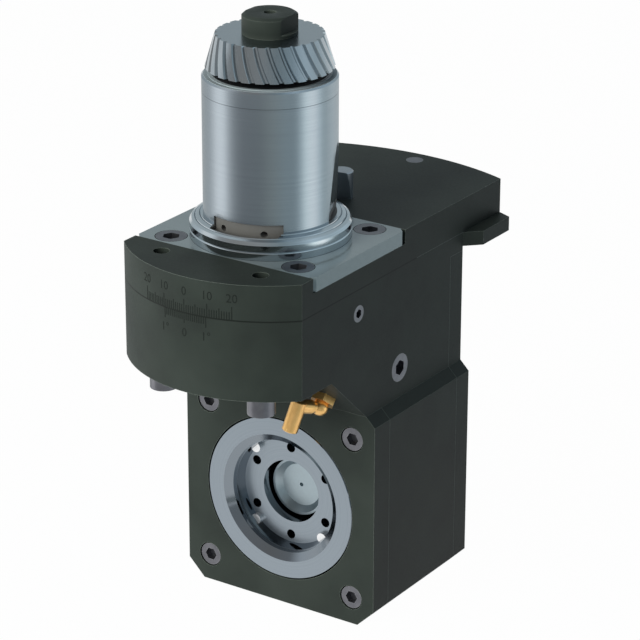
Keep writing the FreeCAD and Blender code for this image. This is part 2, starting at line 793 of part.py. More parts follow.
def build_swivel_body():
    """Swivel body with its bores, gear spaces, clamp slots and screw holes."""
    pilot_radius = "pilot_dia / 2 + running_gap"
    pinion_space = "mitre_radius + 4 * free_gap"
    pinion_bottom = f"-{COUNTER_DROP} + mitre_radius - 3 * free_gap"
    drive_space = turned(
        "drive_space",
        [
            ("0", f"-{COUNTER_DROP} + 3 * free_gap"),
            ("mitre_radius - 2 * free_gap", f"-{COUNTER_DROP} + 3 * free_gap"),
            ("mitre_radius - 2 * free_gap", pinion_bottom),
            (pinion_space, pinion_bottom),
            (pinion_space, f"-{SHANK_FOOT} - rim_gap"),
            (pilot_radius, f"-{SHANK_FOOT} - rim_gap"),
            (pilot_radius, "-plate_thickness"),
            ("0", "-plate_thickness"),
        ],
    )
    gear_space = "(gear_module * (counter_teeth + 2) / 2 + 1.5 * free_gap)"
    bevel_space = f"mitre_radius * {MITRE_TIP} + free_gap"
    counter_space = turned_y(
        "counter_space",
        [
            ("0", "front_y - free_gap"),
            ("shaft_nose_dia / 2 + 1.5 * free_gap", "front_y - free_gap"),
            (bevel_space, "mitre_radius + free_gap"),
            (bevel_space, "counter_bearing_start - free_gap"),
            ("counter_bearing_dia / 2", "counter_bearing_start - free_gap"),
            ("counter_bearing_dia / 2", "spur_start - 5 * free_gap"),
            (gear_space, "spur_start - 5 * free_gap"),
            (gear_space, BLOCK_REAR),
            ("0", BLOCK_REAR),
        ],
        COUNTER_DROP,
    )
    spindle_space = turned_y(
        "spindle_space",
        [
            ("0", BLOCK_FRONT),
            ("spindle_bearing_dia / 2", BLOCK_FRONT),
            ("spindle_bearing_dia / 2", "spur_start - 2 * free_gap"),
            (f"{REAR_BEARING} / 2", "spur_start - 2 * free_gap"),
            (f"{REAR_BEARING} / 2", BLOCK_REAR),
            ("0", BLOCK_REAR),
        ],
        SPINDLE_DROP,
    )
    gear_start = ("0", "spur_start - 2 * free_gap", negative(SPINDLE_DROP))
    rim_dia = "gear_module * (spindle_teeth + 2) + 2 * (free_gap + rim_gap)"
    rim_space = rod("rim_space", gear_start, "back", rim_dia, "spur_width + 4 * free_gap")
    depth = "block_bottom - plate_thickness"
    slots = [banana_slot("rear_slot", "rear_clamp_circle", "90", "plate_thickness", "lug_thickness")]
    for side in (-1, 1):
        middle = f"(-90 + {side} * clamp_angle)"
        slots.append(banana_slot("front_slot", "clamp_circle", middle, "plate_thickness", depth))
    holes = []
    for x, z in COVER_SCREW_PLACES:
        holes.append(rod("front_thread", (x, BLOCK_FRONT, z), "back", "screw_stem_dia", "cover_stem_length"))
    for x, z in COVER_SCREW_PLACES + NECK_SCREW_PLACES:
        holes.append(rod("rear_thread", (x, BLOCK_REAR, z), "front", "screw_stem_dia", "cover_stem_length"))
    for y, z, dia in SIDE_FITTINGS.values():
        holes.append(rod("side_hole", (f"{HALF_WIDTH} - {SIDE_SCREW}", y, z), "right", dia, SIDE_SCREW))
    thread_start = "-nozzle_reach - nozzle_stem_length"
    holes.append(nozzle_rod("nozzle_thread", "nozzle_hex", thread_start, "nozzle_stem_length"))
    spaces = [drive_space, counter_space, spindle_space, rim_space]
    body = cut("swivel_body", swivel_blank(), *spaces, *slots, *holes)
    node(body, "swivel_body")


def build_covers():
    """Front and rear covers of the gearbox with their screws."""
    body = new_body("front_cover_blank")
    drawing = sketch(body, "front_outline", "XZ_Plane", head_outline(), lift=negative(BLOCK_FRONT))
    pad(body, "front_pad", drawing, "front_cover_thickness")
    throat = turned_y(
        "front_throat",
        [
            ("0", "front_y"),
            ("ring_dia / 2 + ring_gap", "front_y"),
            ("ring_dia / 2 + ring_gap", f"{RING_BACK} + ring_gap"),
            ("spindle_seal_dia / 2", f"{RING_BACK} + ring_gap"),
            ("spindle_seal_dia / 2", BLOCK_FRONT),
            ("0", BLOCK_FRONT),
        ],
        SPINDLE_DROP,
    )
    tools = [throat]
    screws = []
    for x, z in COVER_SCREW_PLACES:
        at = (x, "front_y", z)
        tools.append(rod("front_counterbore", at, "back", "counterbore_dia", "counterbore_depth"))
        tools.append(rod("front_hole", at, "back", "screw_stem_dia", "front_cover_thickness"))
        head_face = (x, "front_y + counterbore_depth - screw_head_height", z)
        screws.append(
            socket_screw(
                "front_cover_screw", head_face, "front", "screw_head_dia", "screw_head_height",
                "screw_stem_dia", "cover_stem_length",
            )
        )
    node(cut("front_cover", body, *tools), "front_cover")
    group("front_cover_screws", screws)

    body = new_body("rear_cover_blank")
    outline = head_outline()
    neck = [(HALF_WIDTH, "-rear_cover_top"), (negative(HALF_WIDTH), "-rear_cover_top")]
    outline = outline[:4] + neck + outline[4:]
    drawing = sketch(body, "rear_outline", "XZ_Plane", outline, lift=negative(REAR_Y))
    pad(body, "rear_pad", drawing, "rear_cover_thickness")
    bearing_radius = "counter_bearing_dia / 2"
    ring = tube(f"{bearing_radius} + 4 * free_gap", bearing_radius, "rear_bearing_start", BLOCK_REAR)
    boss = turned_y("bearing_boss", ring, COUNTER_DROP)
    cap_end = ("0", BLOCK_REAR, negative(SPINDLE_DROP))
    cap_dia = "spindle_bore_dia - 2 * cap_gap"
    tools = [rod("sleeve_seat", cap_end, "back", cap_dia, "rear_cover_thickness / 2")]
    screws = []
    for x, z in COVER_SCREW_PLACES + NECK_SCREW_PLACES:
        at = (x, REAR_Y, z)
        tools.append(rod("rear_counterbore", at, "front", "counterbore_dia", "counterbore_depth"))
        tools.append(rod("rear_hole", at, "front", "screw_stem_dia", "rear_cover_thickness"))
        head_face = (x, f"{REAR_Y} - counterbore_depth + screw_head_height", z)
        screws.append(
            socket_screw(
                "rear_cover_screw", head_face, "back", "screw_head_dia", "screw_head_height",
                "screw_stem_dia", "cover_stem_length",
            )
        )
    node(cut("rear_cover", fused("cover_and_boss", body, boss), *tools), "rear_cover")
    group("rear_cover_screws", screws)


def build_side_fittings():
    """Grub screw and coolant plug in the right side of the neck."""
    for label, (y, z, dia) in SIDE_FITTINGS.items():
        node(socket_plug(label, (HALF_WIDTH, y, z), "right", dia, SIDE_SCREW), label)


def build_bore_cap():
    """Fixed sleeve that closes the spindle bore, with a dished front."""
    radius = "spindle_bore_dia / 2 - cap_gap"
    face = f"{CAP_FRONT} + cap_dish"
    end = f"{BLOCK_REAR} + rear_cover_thickness / 2"
    profile = [
        ("0", face),
        ("cap_face_dia / 2", face),
        (f"{radius} - cap_rim", CAP_FRONT),
        (radius, CAP_FRONT),
        (radius, end),
        (f"{radius} - cap_wall", end),
        (f"{radius} - cap_wall", f"{face} + cap_wall"),
        ("0", f"{face} + cap_wall"),
    ]
    sleeve = turned_y("bore_cap_blank", profile, SPINDLE_DROP)
    centre = rod("cap_centre", ("0", face, negative(SPINDLE_DROP)), "back", "cap_centre_dia", "cap_wall / 2")
    node(cut("bore_cap", sleeve, centre), "bore_cap")


# Bearings


def bearing(label, outer, inner, race, start, width, drop=None):
    """Outer and inner ring of a bearing, on the vertical axis or along Y at a drop."""
    end = f"{start} + {width}"
    for part_name, profile in (
        ("outer_ring", tube(f"{outer} / 2", f"{outer} / 2 - {race}", start, end)),
        ("inner_ring", tube(f"{inner} / 2 + {race}", f"{inner} / 2", start, end)),
    ):
        name = f"{label}_{part_name}"
        piece = turned(name, profile) if drop is None else turned_y(name, profile, drop)
        node(piece, name)


def build_bearings():
    """The three pairs: on the drive shaft, the countershaft and the whirling spindle."""
    drive = ("drive_bearing_dia", "drive_shaft_dia", "race_thickness")
    bearing("upper_bearing", *drive, f"{SHANK_SEAM} - drive_bearing_width", "drive_bearing_width")
    bearing("lower_bearing", *drive, "-lower_bearing_start - lower_bearing_width", "lower_bearing_width")
    counter = ("counter_bearing_dia", "counter_shaft_dia", "counter_race")
    for end, start in (("front", "counter_bearing_start"), ("rear", "rear_bearing_start")):
        bearing(f"counter_{end}_bearing", *counter, start, "counter_bearing_width", COUNTER_DROP)
    front = ("spindle_bearing_dia", "spindle_dia", "spindle_race", "spindle_bearing_start")
    bearing("spindle_front_bearing", *front, "spindle_bearing_width", SPINDLE_DROP)
    rear = (REAR_BEARING, "spindle_dia", "spindle_race", "rear_bearing_start")
    bearing("spindle_rear_bearing", *rear, "rear_bearing_width", SPINDLE_DROP)


# Drive spindle: the vertical shaft that the turret turns


def build_drive_gear():
    """Spiral bevel gear: a cone blank with twisted, tapered gaps between its teeth."""
    body = new_body("drive_gear_blank")
    bore = "gear_seat_dia / 2"
    low = "drive_gear_low_dia / 2"
    top = "drive_gear_top_dia / 2"
    profile = [
        (bore, GEAR_UNDERSIDE),
        ("shaft_collar_dia / 2 + 4 * free_gap", GEAR_UNDERSIDE),
        (f"{low} - drive_tooth_depth", "drive_gear_base - 0.5 * free_gap"),
        (low, "drive_gear_base"),
        (top, GEAR_TOP),
        (bore, GEAR_TOP),
    ]
    drawing = sketch(body, "gear_profile", "XZ_Plane", profile)
    blank = body.newObject("PartDesign::Revolution", "gear_cone")
    blank.Profile = drawing
    blank.ReferenceAxis = (drawing, ["V_Axis"])
    blank.Angle = FULL_TURN
    sections = []
    stations = 4
    run_out = 0.08
    for station in range(stations):
        share = -run_out + (1 + 2 * run_out) * station / (stations - 1)
        tip = f"({low} + ({top} - {low}) * {share:.4f})"
        root = f"({tip} - drive_tooth_depth * {tip} / ({low}))"
        pitch = f"(2 * pi * {tip} / drive_teeth)"
        corners = tooth_gap(root, f"({tip} + free_gap)", pitch, SPIRAL_ROOT_GAP, SPIRAL_TIP_GAP)
        height = f"drive_gear_base + drive_gear_face * {share:.4f}"
        twist = f"-drive_tooth_twist * {share:.4f}"
        name = f"gap_section_{station}"
        sections.append(sketch(body, name, "XY_Plane", corners, lift=height, turn=twist))
    doc.recompute()
    gap = body.newObject("PartDesign::SubtractiveLoft", "tooth_gap")
    gap.Profile = sections[0]
    gap.Sections = sections[1:]
    doc.recompute()
    polar(body, "gear_teeth", [gap], "drive_teeth")
    keyway = block(
        "gear_keyway",
        ("-key_width / 2", "0", f"{GEAR_TOP} - key_length"),
        ("key_width", "gear_seat_dia / 2 + key_width / 3", "key_length"),
    )
    node(cut("drive_gear", body, keyway), "drive_gear")


def build_drive_shaft():
    """Vertical shaft with its key, spacer and clamping bolt."""
    shaft = turned(
        "drive_shaft_blank",
        solid_steps(
            ("shaft_nose_dia / 2", f"-{COUNTER_DROP} + mitre_radius - mitre_face - free_gap",
             "-lower_bearing_start - lower_bearing_width"),
            ("drive_shaft_dia / 2", "-lower_bearing_start - lower_bearing_width", SHANK_SEAM),
            ("shaft_collar_dia / 2", SHANK_SEAM, GEAR_UNDERSIDE),
            ("gear_seat_dia / 2", GEAR_UNDERSIDE, GEAR_TOP),
        ),
    )
    key_at = ("-key_width / 2", "gear_seat_dia / 2 - key_width / 2", f"{GEAR_TOP} - key_length")
    key_size = ("key_width", "key_width * 5 / 6", "key_length")
    bore = rod("shaft_thread", ("0", "0", GEAR_TOP), "down", "bolt_stem_dia", "bolt_stem_length")
    node(cut("drive_shaft", shaft, bore, block("shaft_keyway", key_at, key_size)), "drive_shaft")
    node(block("gear_key", key_at, key_size), "gear_key")
    spacer_top = f"{SHANK_SEAM} - drive_bearing_width"
    spacer = tube("shaft_collar_dia / 2", "drive_shaft_dia / 2", "-lower_bearing_start", spacer_top)
    node(turned("shaft_spacer", spacer), "shaft_spacer")
    radius = "bolt_head_dia / 2"
    top = f"{GEAR_TOP} + bolt_head_height"
    head = turned(
        "gear_bolt_blank",
        [
            ("0", f"{GEAR_TOP} - bolt_stem_length"),
            ("bolt_stem_dia / 2", f"{GEAR_TOP} - bolt_stem_length"),
            ("bolt_stem_dia / 2", GEAR_TOP),
            (radius, GEAR_TOP),
            (radius, f"{top} - bolt_chamfer"),
            (f"{radius} - bolt_chamfer", top),
            ("0", top),
        ],
    )
    flats = [
        block(
            "bolt_flat",
            (start, "-bolt_head_dia", f"{GEAR_TOP} + bolt_ledge"),
            ("bolt_head_dia", "2 * bolt_head_dia", "bolt_head_height"),
        )
        for start in ("bolt_head_flat / 2", "-bolt_head_flat / 2 - bolt_head_dia")
    ]
    centre = rod("bolt_centre", ("0", "0", top), "down", "bolt_centre_dia", "bolt_head_height / 2")
    node(cut("gear_bolt", head, *flats, centre), "gear_bolt")


def mitre_gear(label, hub_end, gap_angle, at, rotation):
    """Straight bevel gear at 45 degrees whose pitch cone starts at its own origin."""
    body = new_body(label + "_blank")
    bore = "shaft_nose_dia / 2"
    small = "(mitre_radius - mitre_face)"
    drawing = sketch(
        body,
        label + "_profile",
        "XZ_Plane",
        [
            (bore, small),
            (f"{small} * {MITRE_TIP}", small),
            (f"mitre_radius * {MITRE_TIP}", "mitre_radius"),
            (f"mitre_radius * {MITRE_HUB}", "mitre_radius + 0.5 * free_gap"),
            (f"mitre_radius * {MITRE_HUB}", hub_end),
            (bore, hub_end),
        ],
    )
    blank = body.newObject("PartDesign::Revolution", label + "_cone")
    blank.Profile = drawing
    blank.ReferenceAxis = (drawing, ["V_Axis"])
    blank.Angle = FULL_TURN
    sections = []
    for height in (f"({small} - free_gap)", "(mitre_radius + free_gap)"):
        pitch = f"(2 * pi * {height} / mitre_teeth)"
        root = f"{height} * {MITRE_ROOT}"
        tip = f"{height} * {MITRE_TIP + 0.1}"
        corners = tooth_gap(root, tip, pitch, ROOT_GAP, TIP_GAP)
        sections.append(sketch(body, label + "_gap", "XY_Plane", corners, lift=height, turn=gap_angle))
    doc.recompute()
    gap = body.newObject("PartDesign::SubtractiveLoft", label + "_cut")
    gap.Profile = sections[0]
    gap.Sections = sections[1:]
    doc.recompute()
    polar(body, label + "_teeth", [gap], "mitre_teeth")
    node(place(body, at, rotation), label)


def spur_gear(label, teeth, bore, gap_angle, drop):
    """Spur gear on a shaft along Y."""
    body = new_body(label + "_blank")
    pitch_radius = f"(gear_module * {teeth} / 2)"
    tip = f"({pitch_radius} + 0.9 * gear_module)"
    drawing = sketch(body, label + "_profile", "XZ_Plane", tube(tip, bore, "spur_start", SPUR_END))
    blank = body.newObject("PartDesign::Revolution", label + "_disc")
    blank.Profile = drawing
    blank.ReferenceAxis = (drawing, ["V_Axis"])
    blank.Angle = FULL_TURN
    root = f"({pitch_radius} - 1.2 * gear_module)"
    pitch = "(pi * gear_module)"
    corners = tooth_gap(root, f"({tip} + free_gap)", pitch, ROOT_GAP, TIP_GAP)
    drawing = sketch(body, label + "_gap", "XY_Plane", corners, lift=SPUR_END, turn=gap_angle)
    doc.recompute()
    gap = body.newObject("PartDesign::Pocket", label + "_cut")
    gap.Profile = drawing
    bind(gap, Length="spur_width")
    doc.recompute()
    polar(body, label + "_teeth", [gap], teeth)
    node(place(body, ("0", "0", negative(drop)), ALONG_Y), label)


def build_gear_train():
    """Mitre pair below the shank and spur pair to the whirling spindle, in mesh at rest."""
    apex = ("0", "0", negative(COUNTER_DROP))
    pinion_top = f"{COUNTER_DROP} - lower_bearing_start - lower_bearing_width"
    mitre_gear("drive_pinion", pinion_top, "90 + 180 / mitre_teeth", apex, Rotation())
    mitre_gear("counter_bevel_gear", "counter_bearing_start", "-90", apex, ALONG_Y)
    counter_gap = "90 + 180 / counter_teeth"
    spur_gear("counter_spur_gear", "counter_teeth", "counter_shaft_dia / 2", counter_gap, COUNTER_DROP)
    spur_gear("spindle_gear", "spindle_teeth", "spindle_dia / 2", "-90", SPINDLE_DROP)


def build_counter_shaft():
    """Horizontal shaft between the mitre pair and the spur pair."""
    end = "rear_bearing_start + counter_bearing_width"
    shaft = solid_steps(
        ("shaft_nose_dia / 2", "mitre_radius - mitre_face - free_gap", "counter_bearing_start"),
        ("counter_shaft_dia / 2", "counter_bearing_start", f"{end} + spindle_nut_thickness"),
    )
    node(turned_y("counter_shaft", shaft, COUNTER_DROP), "counter_shaft")
    radius = "counter_shaft_dia / 2"
    outer = f"{radius} + counter_race"
    front_end = "counter_bearing_start + counter_bearing_width"
    front = turned_y("front_spacer", tube(outer, radius, front_end, "spur_start"), COUNTER_DROP)
    rear = turned_y("rear_spacer", tube(outer, radius, SPUR_END, "rear_bearing_start"), COUNTER_DROP)
    group("counter_spacers", [front, rear])
    nut = tube(f"{radius} + 2 * counter_race", radius, end, f"{end} + spindle_nut_thickness")
    node(turned_y("counter_nut", nut, COUNTER_DROP), "counter_nut")


# Whirling spindle


def build_spindle():
    """Hollow spindle with the conical seat for the cutter ring in its nose."""
    bore = "spindle_bore_dia / 2"
    nose = "ring_dia / 2"
    step_y = "front_y + seat_depth / 2"
    end = "rear_bearing_start + rear_bearing_width + spindle_nut_thickness"
    profile = [
        (bore, SEAT_FLOOR),
        ("seat_floor_dia / 2", SEAT_FLOOR),
        ("seat_step_dia / 2 - ring_gap", step_y),
        ("seat_step_dia / 2", step_y),
        ("seat_step_dia / 2", f"{step_y} - seat_pilot_length"),
        ("seat_mouth_dia / 2", "front_y"),
        (f"{nose} - ring_gap / 2", "front_y"),
        (nose, "front_y + ring_gap / 2"),
        (nose, RING_BACK),
        ("spindle_collar_dia / 2", RING_BACK),
        ("spindle_collar_dia / 2", "spindle_bearing_start"),
        ("spindle_dia / 2", "spindle_bearing_start"),
        ("spindle_dia / 2", end),
        (bore, end),
    ]
    body = turned_y("spindle_blank", profile, SPINDLE_DROP)
    tools = []
    for angle in range(30, FULL_TURN, 60):
        x = f"tool_circle_dia / 2 * cos({angle})"
        z = f"tool_circle_dia / 2 * sin({angle}) - {SPINDLE_DROP}"
        tools.append(rod("tool_thread", (x, SEAT_FLOOR, z), "back", "tool_screw_dia", "tool_screw_depth"))
    pins = []
    for angle in (-135, -45, 135):
        x = f"drive_pin_circle_dia / 2 * cos({angle})"
        z = f"drive_pin_circle_dia / 2 * sin({angle}) - {SPINDLE_DROP}"
        at = (x, f"{SEAT_FLOOR} - drive_pin_length / 3", z)
        tools.append(rod("pin_hole", at, "back", "drive_pin_dia", "drive_pin_length"))
        pins.append(rod("drive_pin", at, "back", "drive_pin_dia", "drive_pin_length"))
    node(cut("whirling_spindle", body, *tools), "whirling_spindle")
    group("drive_pins", pins)
    radius = "spindle_dia / 2"
    collar = f"{radius} + spindle_race - 1"
    front = turned_y(
        "spindle_front_spacer",
        tube(collar, radius, "spindle_bearing_start + spindle_bearing_width", "spur_start"),
        SPINDLE_DROP,
    )
    rear_profile = tube(collar, radius, SPUR_END, "rear_bearing_start")
    rear = turned_y("spindle_rear_spacer", rear_profile, SPINDLE_DROP)
    group("spindle_spacers", [front, rear])
    nut_start = "rear_bearing_start + rear_bearing_width"
    nut = tube(f"{radius} + 1.5 * spindle_race", radius, nut_start, f"{nut_start} + spindle_nut_thickness")
    node(turned_y("spindle_nut", nut, SPINDLE_DROP), "spindle_nut")
    lip = "spindle_collar_dia / 2 + running_gap"
    seal = tube("spindle_seal_dia / 2", lip, f"{RING_BACK} + ring_gap", BLOCK_FRONT)
    node(turned_y("spindle_seal", seal, SPINDLE_DROP), "spindle_seal")


# Coolant nozzle


def slope_turn():
    """Turn that brings a nozzle's own Z onto the outward normal of the sloped underside."""
    run = value("front_y + underside_start")
    rise = value("head_top - block_bottom")
    return Rotation(Vector(0, 0, 1), Vector(0, -rise, -run))


def nozzle_ball_place(out="0"):
    """Point on the nozzle's axis, as expressions, at a distance out from the ball's centre."""
    slope = "sqrt((front_y + underside_start)^2 + (head_top - block_bottom)^2)"
    along_y = f"((front_y + underside_start) / {slope})"
    along_z = f"((head_top - block_bottom) / {slope})"
    reach = f"(nozzle_reach + ({out}))"
    return (
        f"{HALF_WIDTH} - nozzle_inset",
        f"front_y - nozzle_slide * {along_y} - {reach} * {along_z}",
        f"-head_top + nozzle_slide * {along_z} - {reach} * {along_y}",
    )


def nozzle_rod(name, dia, start, length):
    """Cylinder on the nozzle's axis, from a distance out from the ball's centre."""
    part = doc.addObject("Part::Cylinder", name)
    bind(part, Radius=f"({dia}) / 2", Height=length)
    return place(part, nozzle_ball_place(start), slope_turn())


def aimed(turn, rise):
    """Direction at a turn about Z and a rise above the XY plane, in degrees."""
    turn, rise = (math.radians(value(text)) for text in (turn, rise))
    return Vector(math.cos(turn) * math.cos(rise), math.sin(turn) * math.cos(rise), math.sin(rise))


def build_nozzle():
    """Ball nozzle under the neck that washes the cutter ring."""
    base = doc.addObject("Part::Prism", "nozzle_hexagon")
    base.Polygon = 6
    bind(base, Circumradius="nozzle_hex", Height="nozzle_base_thickness")
    place(base, nozzle_ball_place("-nozzle_reach"), slope_turn())
    stem_start = "-nozzle_reach - nozzle_stem_length"
    stem = nozzle_rod("nozzle_stem", "nozzle_hex", stem_start, "nozzle_stem_length")
    ball_space = doc.addObject("Part::Sphere", "ball_space")
    bind(ball_space, Radius="nozzle_ball_dia / 2 + running_gap")
    place(ball_space, nozzle_ball_place())
    node(cut("nozzle_base", fused("nozzle_base_solid", base, stem), ball_space), "nozzle_base")

    turn = slope_turn()
    ball = doc.addObject("Part::Sphere", "nozzle_ball")
    bind(ball, Radius="nozzle_ball_dia / 2")
    place(ball, nozzle_ball_place())
    arm_way = aimed("nozzle_arm_turn_angle", "nozzle_arm_lift_angle")
    tube_way = aimed("nozzle_tube_turn_angle", "nozzle_tube_lift_angle")
    centre = Vector(*[value(text) for text in nozzle_ball_place()])
    elbow_at = centre + turn.multVec(arm_way * value("nozzle_arm_length"))
    arm = doc.addObject("Part::Cone", "nozzle_arm")
    bind(arm, Radius1="nozzle_arm_dia / 2", Radius2="nozzle_tube_dia / 2", Height="nozzle_arm_length")
    arm.Placement = Placement(centre, turn * Rotation(Vector(0, 0, 1), arm_way))
    knee = doc.addObject("Part::Sphere", "nozzle_knee")
    bind(knee, Radius="nozzle_tube_dia / 2")
    knee.Placement = Placement(elbow_at, Rotation())
    pipe = doc.addObject("Part::Cylinder", "nozzle_pipe")
    bind(pipe, Radius="nozzle_tube_dia / 2", Height="nozzle_tube_length")
    pipe.Placement = Placement(elbow_at, turn * Rotation(Vector(0, 0, 1), tube_way))
    bore = doc.addObject("Part::Cylinder", "nozzle_bore")
    bind(bore, Radius="nozzle_bore_dia / 2", Height="nozzle_tube_length")
    bore_start = elbow_at + turn.multVec(tube_way * value("nozzle_tube_length / 2"))
    bore.Placement = Placement(bore_start, turn * Rotation(Vector(0, 0, 1), tube_way))
    node(cut("nozzle", fused("nozzle_solid", ball, arm, knee, pipe), bore), "nozzle")


def check_document():
    """Stop if any object failed, or any piece has no valid solid."""
    for item in doc.Objects:
        if any(word in state for state in item.State for word in ("Invalid", "Error")):
            raise RuntimeError(f"{item.Label} failed: {item.State}")
    for item in nodes:
        if item.Shape.isNull() or not item.Shape.isValid() or not item.Shape.Solids:
            raise RuntimeError(f"{item.Label} has no valid solid")


def main():
    build_shank()
    build_shank_fittings()
    build_flange_plate()
    build_upper_plate()
    build_clamping()
    build_swivel_body()
    build_covers()
    build_side_fittings()
    build_bore_cap()
    build_bearings()
    build_drive_gear()
    build_drive_shaft()
    build_gear_train()
    build_counter_shaft()
    build_spindle()
    build_nozzle()
    doc.recompute()
    check_document()
    os.makedirs("parts", exist_ok=True)
    for item in nodes:
        item.Shape.exportStep(f"parts/{item.Label}.step")
        box = item.Shape.BoundBox
        sides = [box.XMin, box.XMax, box.YMin, box.YMax, box.ZMin, box.ZMax]
        spans = " ".join(f"{side:.1f}" for side in sides)
        print(f"{item.Label}: {len(item.Shape.Solids)} solid, {item.Shape.Volume:.0f} mm3, box {spans}")


main()
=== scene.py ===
import math

import bpy
from mathutils import Matrix, Vector


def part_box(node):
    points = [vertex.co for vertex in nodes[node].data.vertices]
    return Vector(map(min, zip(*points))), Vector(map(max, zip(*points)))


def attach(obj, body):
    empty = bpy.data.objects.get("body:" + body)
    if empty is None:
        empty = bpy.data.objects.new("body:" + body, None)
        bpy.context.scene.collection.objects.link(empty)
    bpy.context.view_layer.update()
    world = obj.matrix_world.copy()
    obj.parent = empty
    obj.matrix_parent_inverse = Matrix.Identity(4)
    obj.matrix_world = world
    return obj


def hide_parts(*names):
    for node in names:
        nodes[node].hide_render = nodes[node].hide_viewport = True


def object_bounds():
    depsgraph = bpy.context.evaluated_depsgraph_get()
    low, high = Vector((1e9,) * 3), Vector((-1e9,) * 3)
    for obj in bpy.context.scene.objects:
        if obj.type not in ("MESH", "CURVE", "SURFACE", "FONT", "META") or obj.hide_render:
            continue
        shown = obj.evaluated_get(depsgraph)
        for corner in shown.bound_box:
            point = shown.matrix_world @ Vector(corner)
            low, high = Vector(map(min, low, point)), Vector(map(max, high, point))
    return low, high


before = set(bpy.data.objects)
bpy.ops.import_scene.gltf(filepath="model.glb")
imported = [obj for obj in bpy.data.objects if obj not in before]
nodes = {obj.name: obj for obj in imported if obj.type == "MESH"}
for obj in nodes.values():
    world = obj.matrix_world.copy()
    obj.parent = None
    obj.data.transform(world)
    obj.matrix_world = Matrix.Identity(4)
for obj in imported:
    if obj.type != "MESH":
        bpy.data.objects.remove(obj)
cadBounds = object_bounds()
mm = 0.001

# The frame: z = 0 is the flange face, the shank stands on the Z axis, the whirling spindle looks to -Y


# Small tools for materials.
# A colour Mix node has its factor in socket 0, its two colours in 6 and 7, and its result in output 2

def linearColour(hexCode):  # sRGB hex to linear light
    channels = [int(hexCode[i:i + 2], 16) / 255 for i in (1, 3, 5)]
    return [c / 12.92 if c <= 0.04045 else ((c + 0.055) / 1.055) ** 2.4 for c in channels] + [1]


def setStops(elements, stops):  # stops are (position, hex)
    for element, (position, _) in zip(elements, (stops[0], stops[-1])):
        element.position = position
    for position, _ in stops[1:-1]:
        elements.new(position)
    for element, (_, hexCode) in zip(elements, stops):
        element.color = linearColour(hexCode)


def addNode(tree, kind, settings=None, links=None):  # settings are sockets, node properties or a ramp's stops
    added = tree.nodes.new(kind)
    for key, setting in (settings or {}).items():
        if key == "stops":
            setStops(added.color_ramp.elements, setting)
        elif isinstance(key, int) or key in added.inputs:
            added.inputs[key].default_value = setting
        else:
            setattr(added, key, setting)
    for socket, source in (links or {}).items():
        tree.links.new(source, added.inputs[socket])
    return added


def newMaterial(name, finish):  # finish goes straight on the shader's own sockets
    material = bpy.data.materials.new(name)
    material.use_nodes = True
    tree = material.node_tree
    shader = tree.nodes["Principled BSDF"]
    for socket, setting in finish.items():
        shader.inputs[socket].default_value = setting
    return material, tree, shader


def plug(tree, shader, sources):  # patterns into the shader's sockets
    for socket, source in sources.items():
        tree.links.new(source, shader.inputs[socket])


edgeFacing = {"From Min": 0.995, "From Max": 0.86}  # cosines of 6 and 31 degrees, from no edge to a sharp one


def edgeMask(tree, width):  # 1 on sharp edges, where the colour takes a painted highlight
    rounded = addNode(tree, "ShaderNodeBevel", {"samples": 6, "Radius": width})
    plain = addNode(tree, "ShaderNodeNewGeometry")
    match = addNode(tree, "ShaderNodeVectorMath", {"operation": "DOT_PRODUCT"},
                    {0: rounded.outputs["Normal"], 1: plain.outputs["True Normal"]})
    sharp = addNode(tree, "ShaderNodeMapRange", edgeFacing, {"Value": match.outputs["Value"]})
    return sharp.outputs["Result"]


def stretched(tree, scale):  # object coordinates. A small number draws the pattern out along its axis
    place = addNode(tree, "ShaderNodeTexCoord")
    mapped = addNode(tree, "ShaderNodeMapping", {"Scale": scale}, {"Vector": place.outputs["Object"]})
    return mapped.outputs["Vector"]


def nearAxis(tree, radius, low, high):  # 1 within a radius of the Z axis and between two heights
    place = addNode(tree, "ShaderNodeTexCoord")
    flat = addNode(tree, "ShaderNodeVectorMath", {"operation": "MULTIPLY", 1: (1, 1, 0)},
                   {0: place.outputs["Object"]})
    reach = addNode(tree, "ShaderNodeVectorMath", {"operation": "LENGTH"}, {0: flat.outputs["Vector"]})
    height = addNode(tree, "ShaderNodeSeparateXYZ", links={"Vector": place.outputs["Object"]}).outputs["Z"]
    inside = addNode(tree, "ShaderNodeMath", {"operation": "LESS_THAN", 1: radius}, {0: reach.outputs["Value"]})
    below = addNode(tree, "ShaderNodeMath", {"operation": "LESS_THAN", 1: high}, {0: height})
    above = addNode(tree, "ShaderNodeMath", {"operation": "GREATER_THAN", 1: low}, {0: height})
    band = addNode(tree, "ShaderNodeMath", {"operation": "MULTIPLY"},
                   {0: below.outputs[0], 1: above.outputs[0]})
    both = addNode(tree, "ShaderNodeMath", {"operation": "MULTIPLY"},
                   {0: inside.outputs[0], 1: band.outputs[0]})
    return both.outputs[0]


# Finishes. A pattern's scale is 1000 divided by the size of its marks in mm

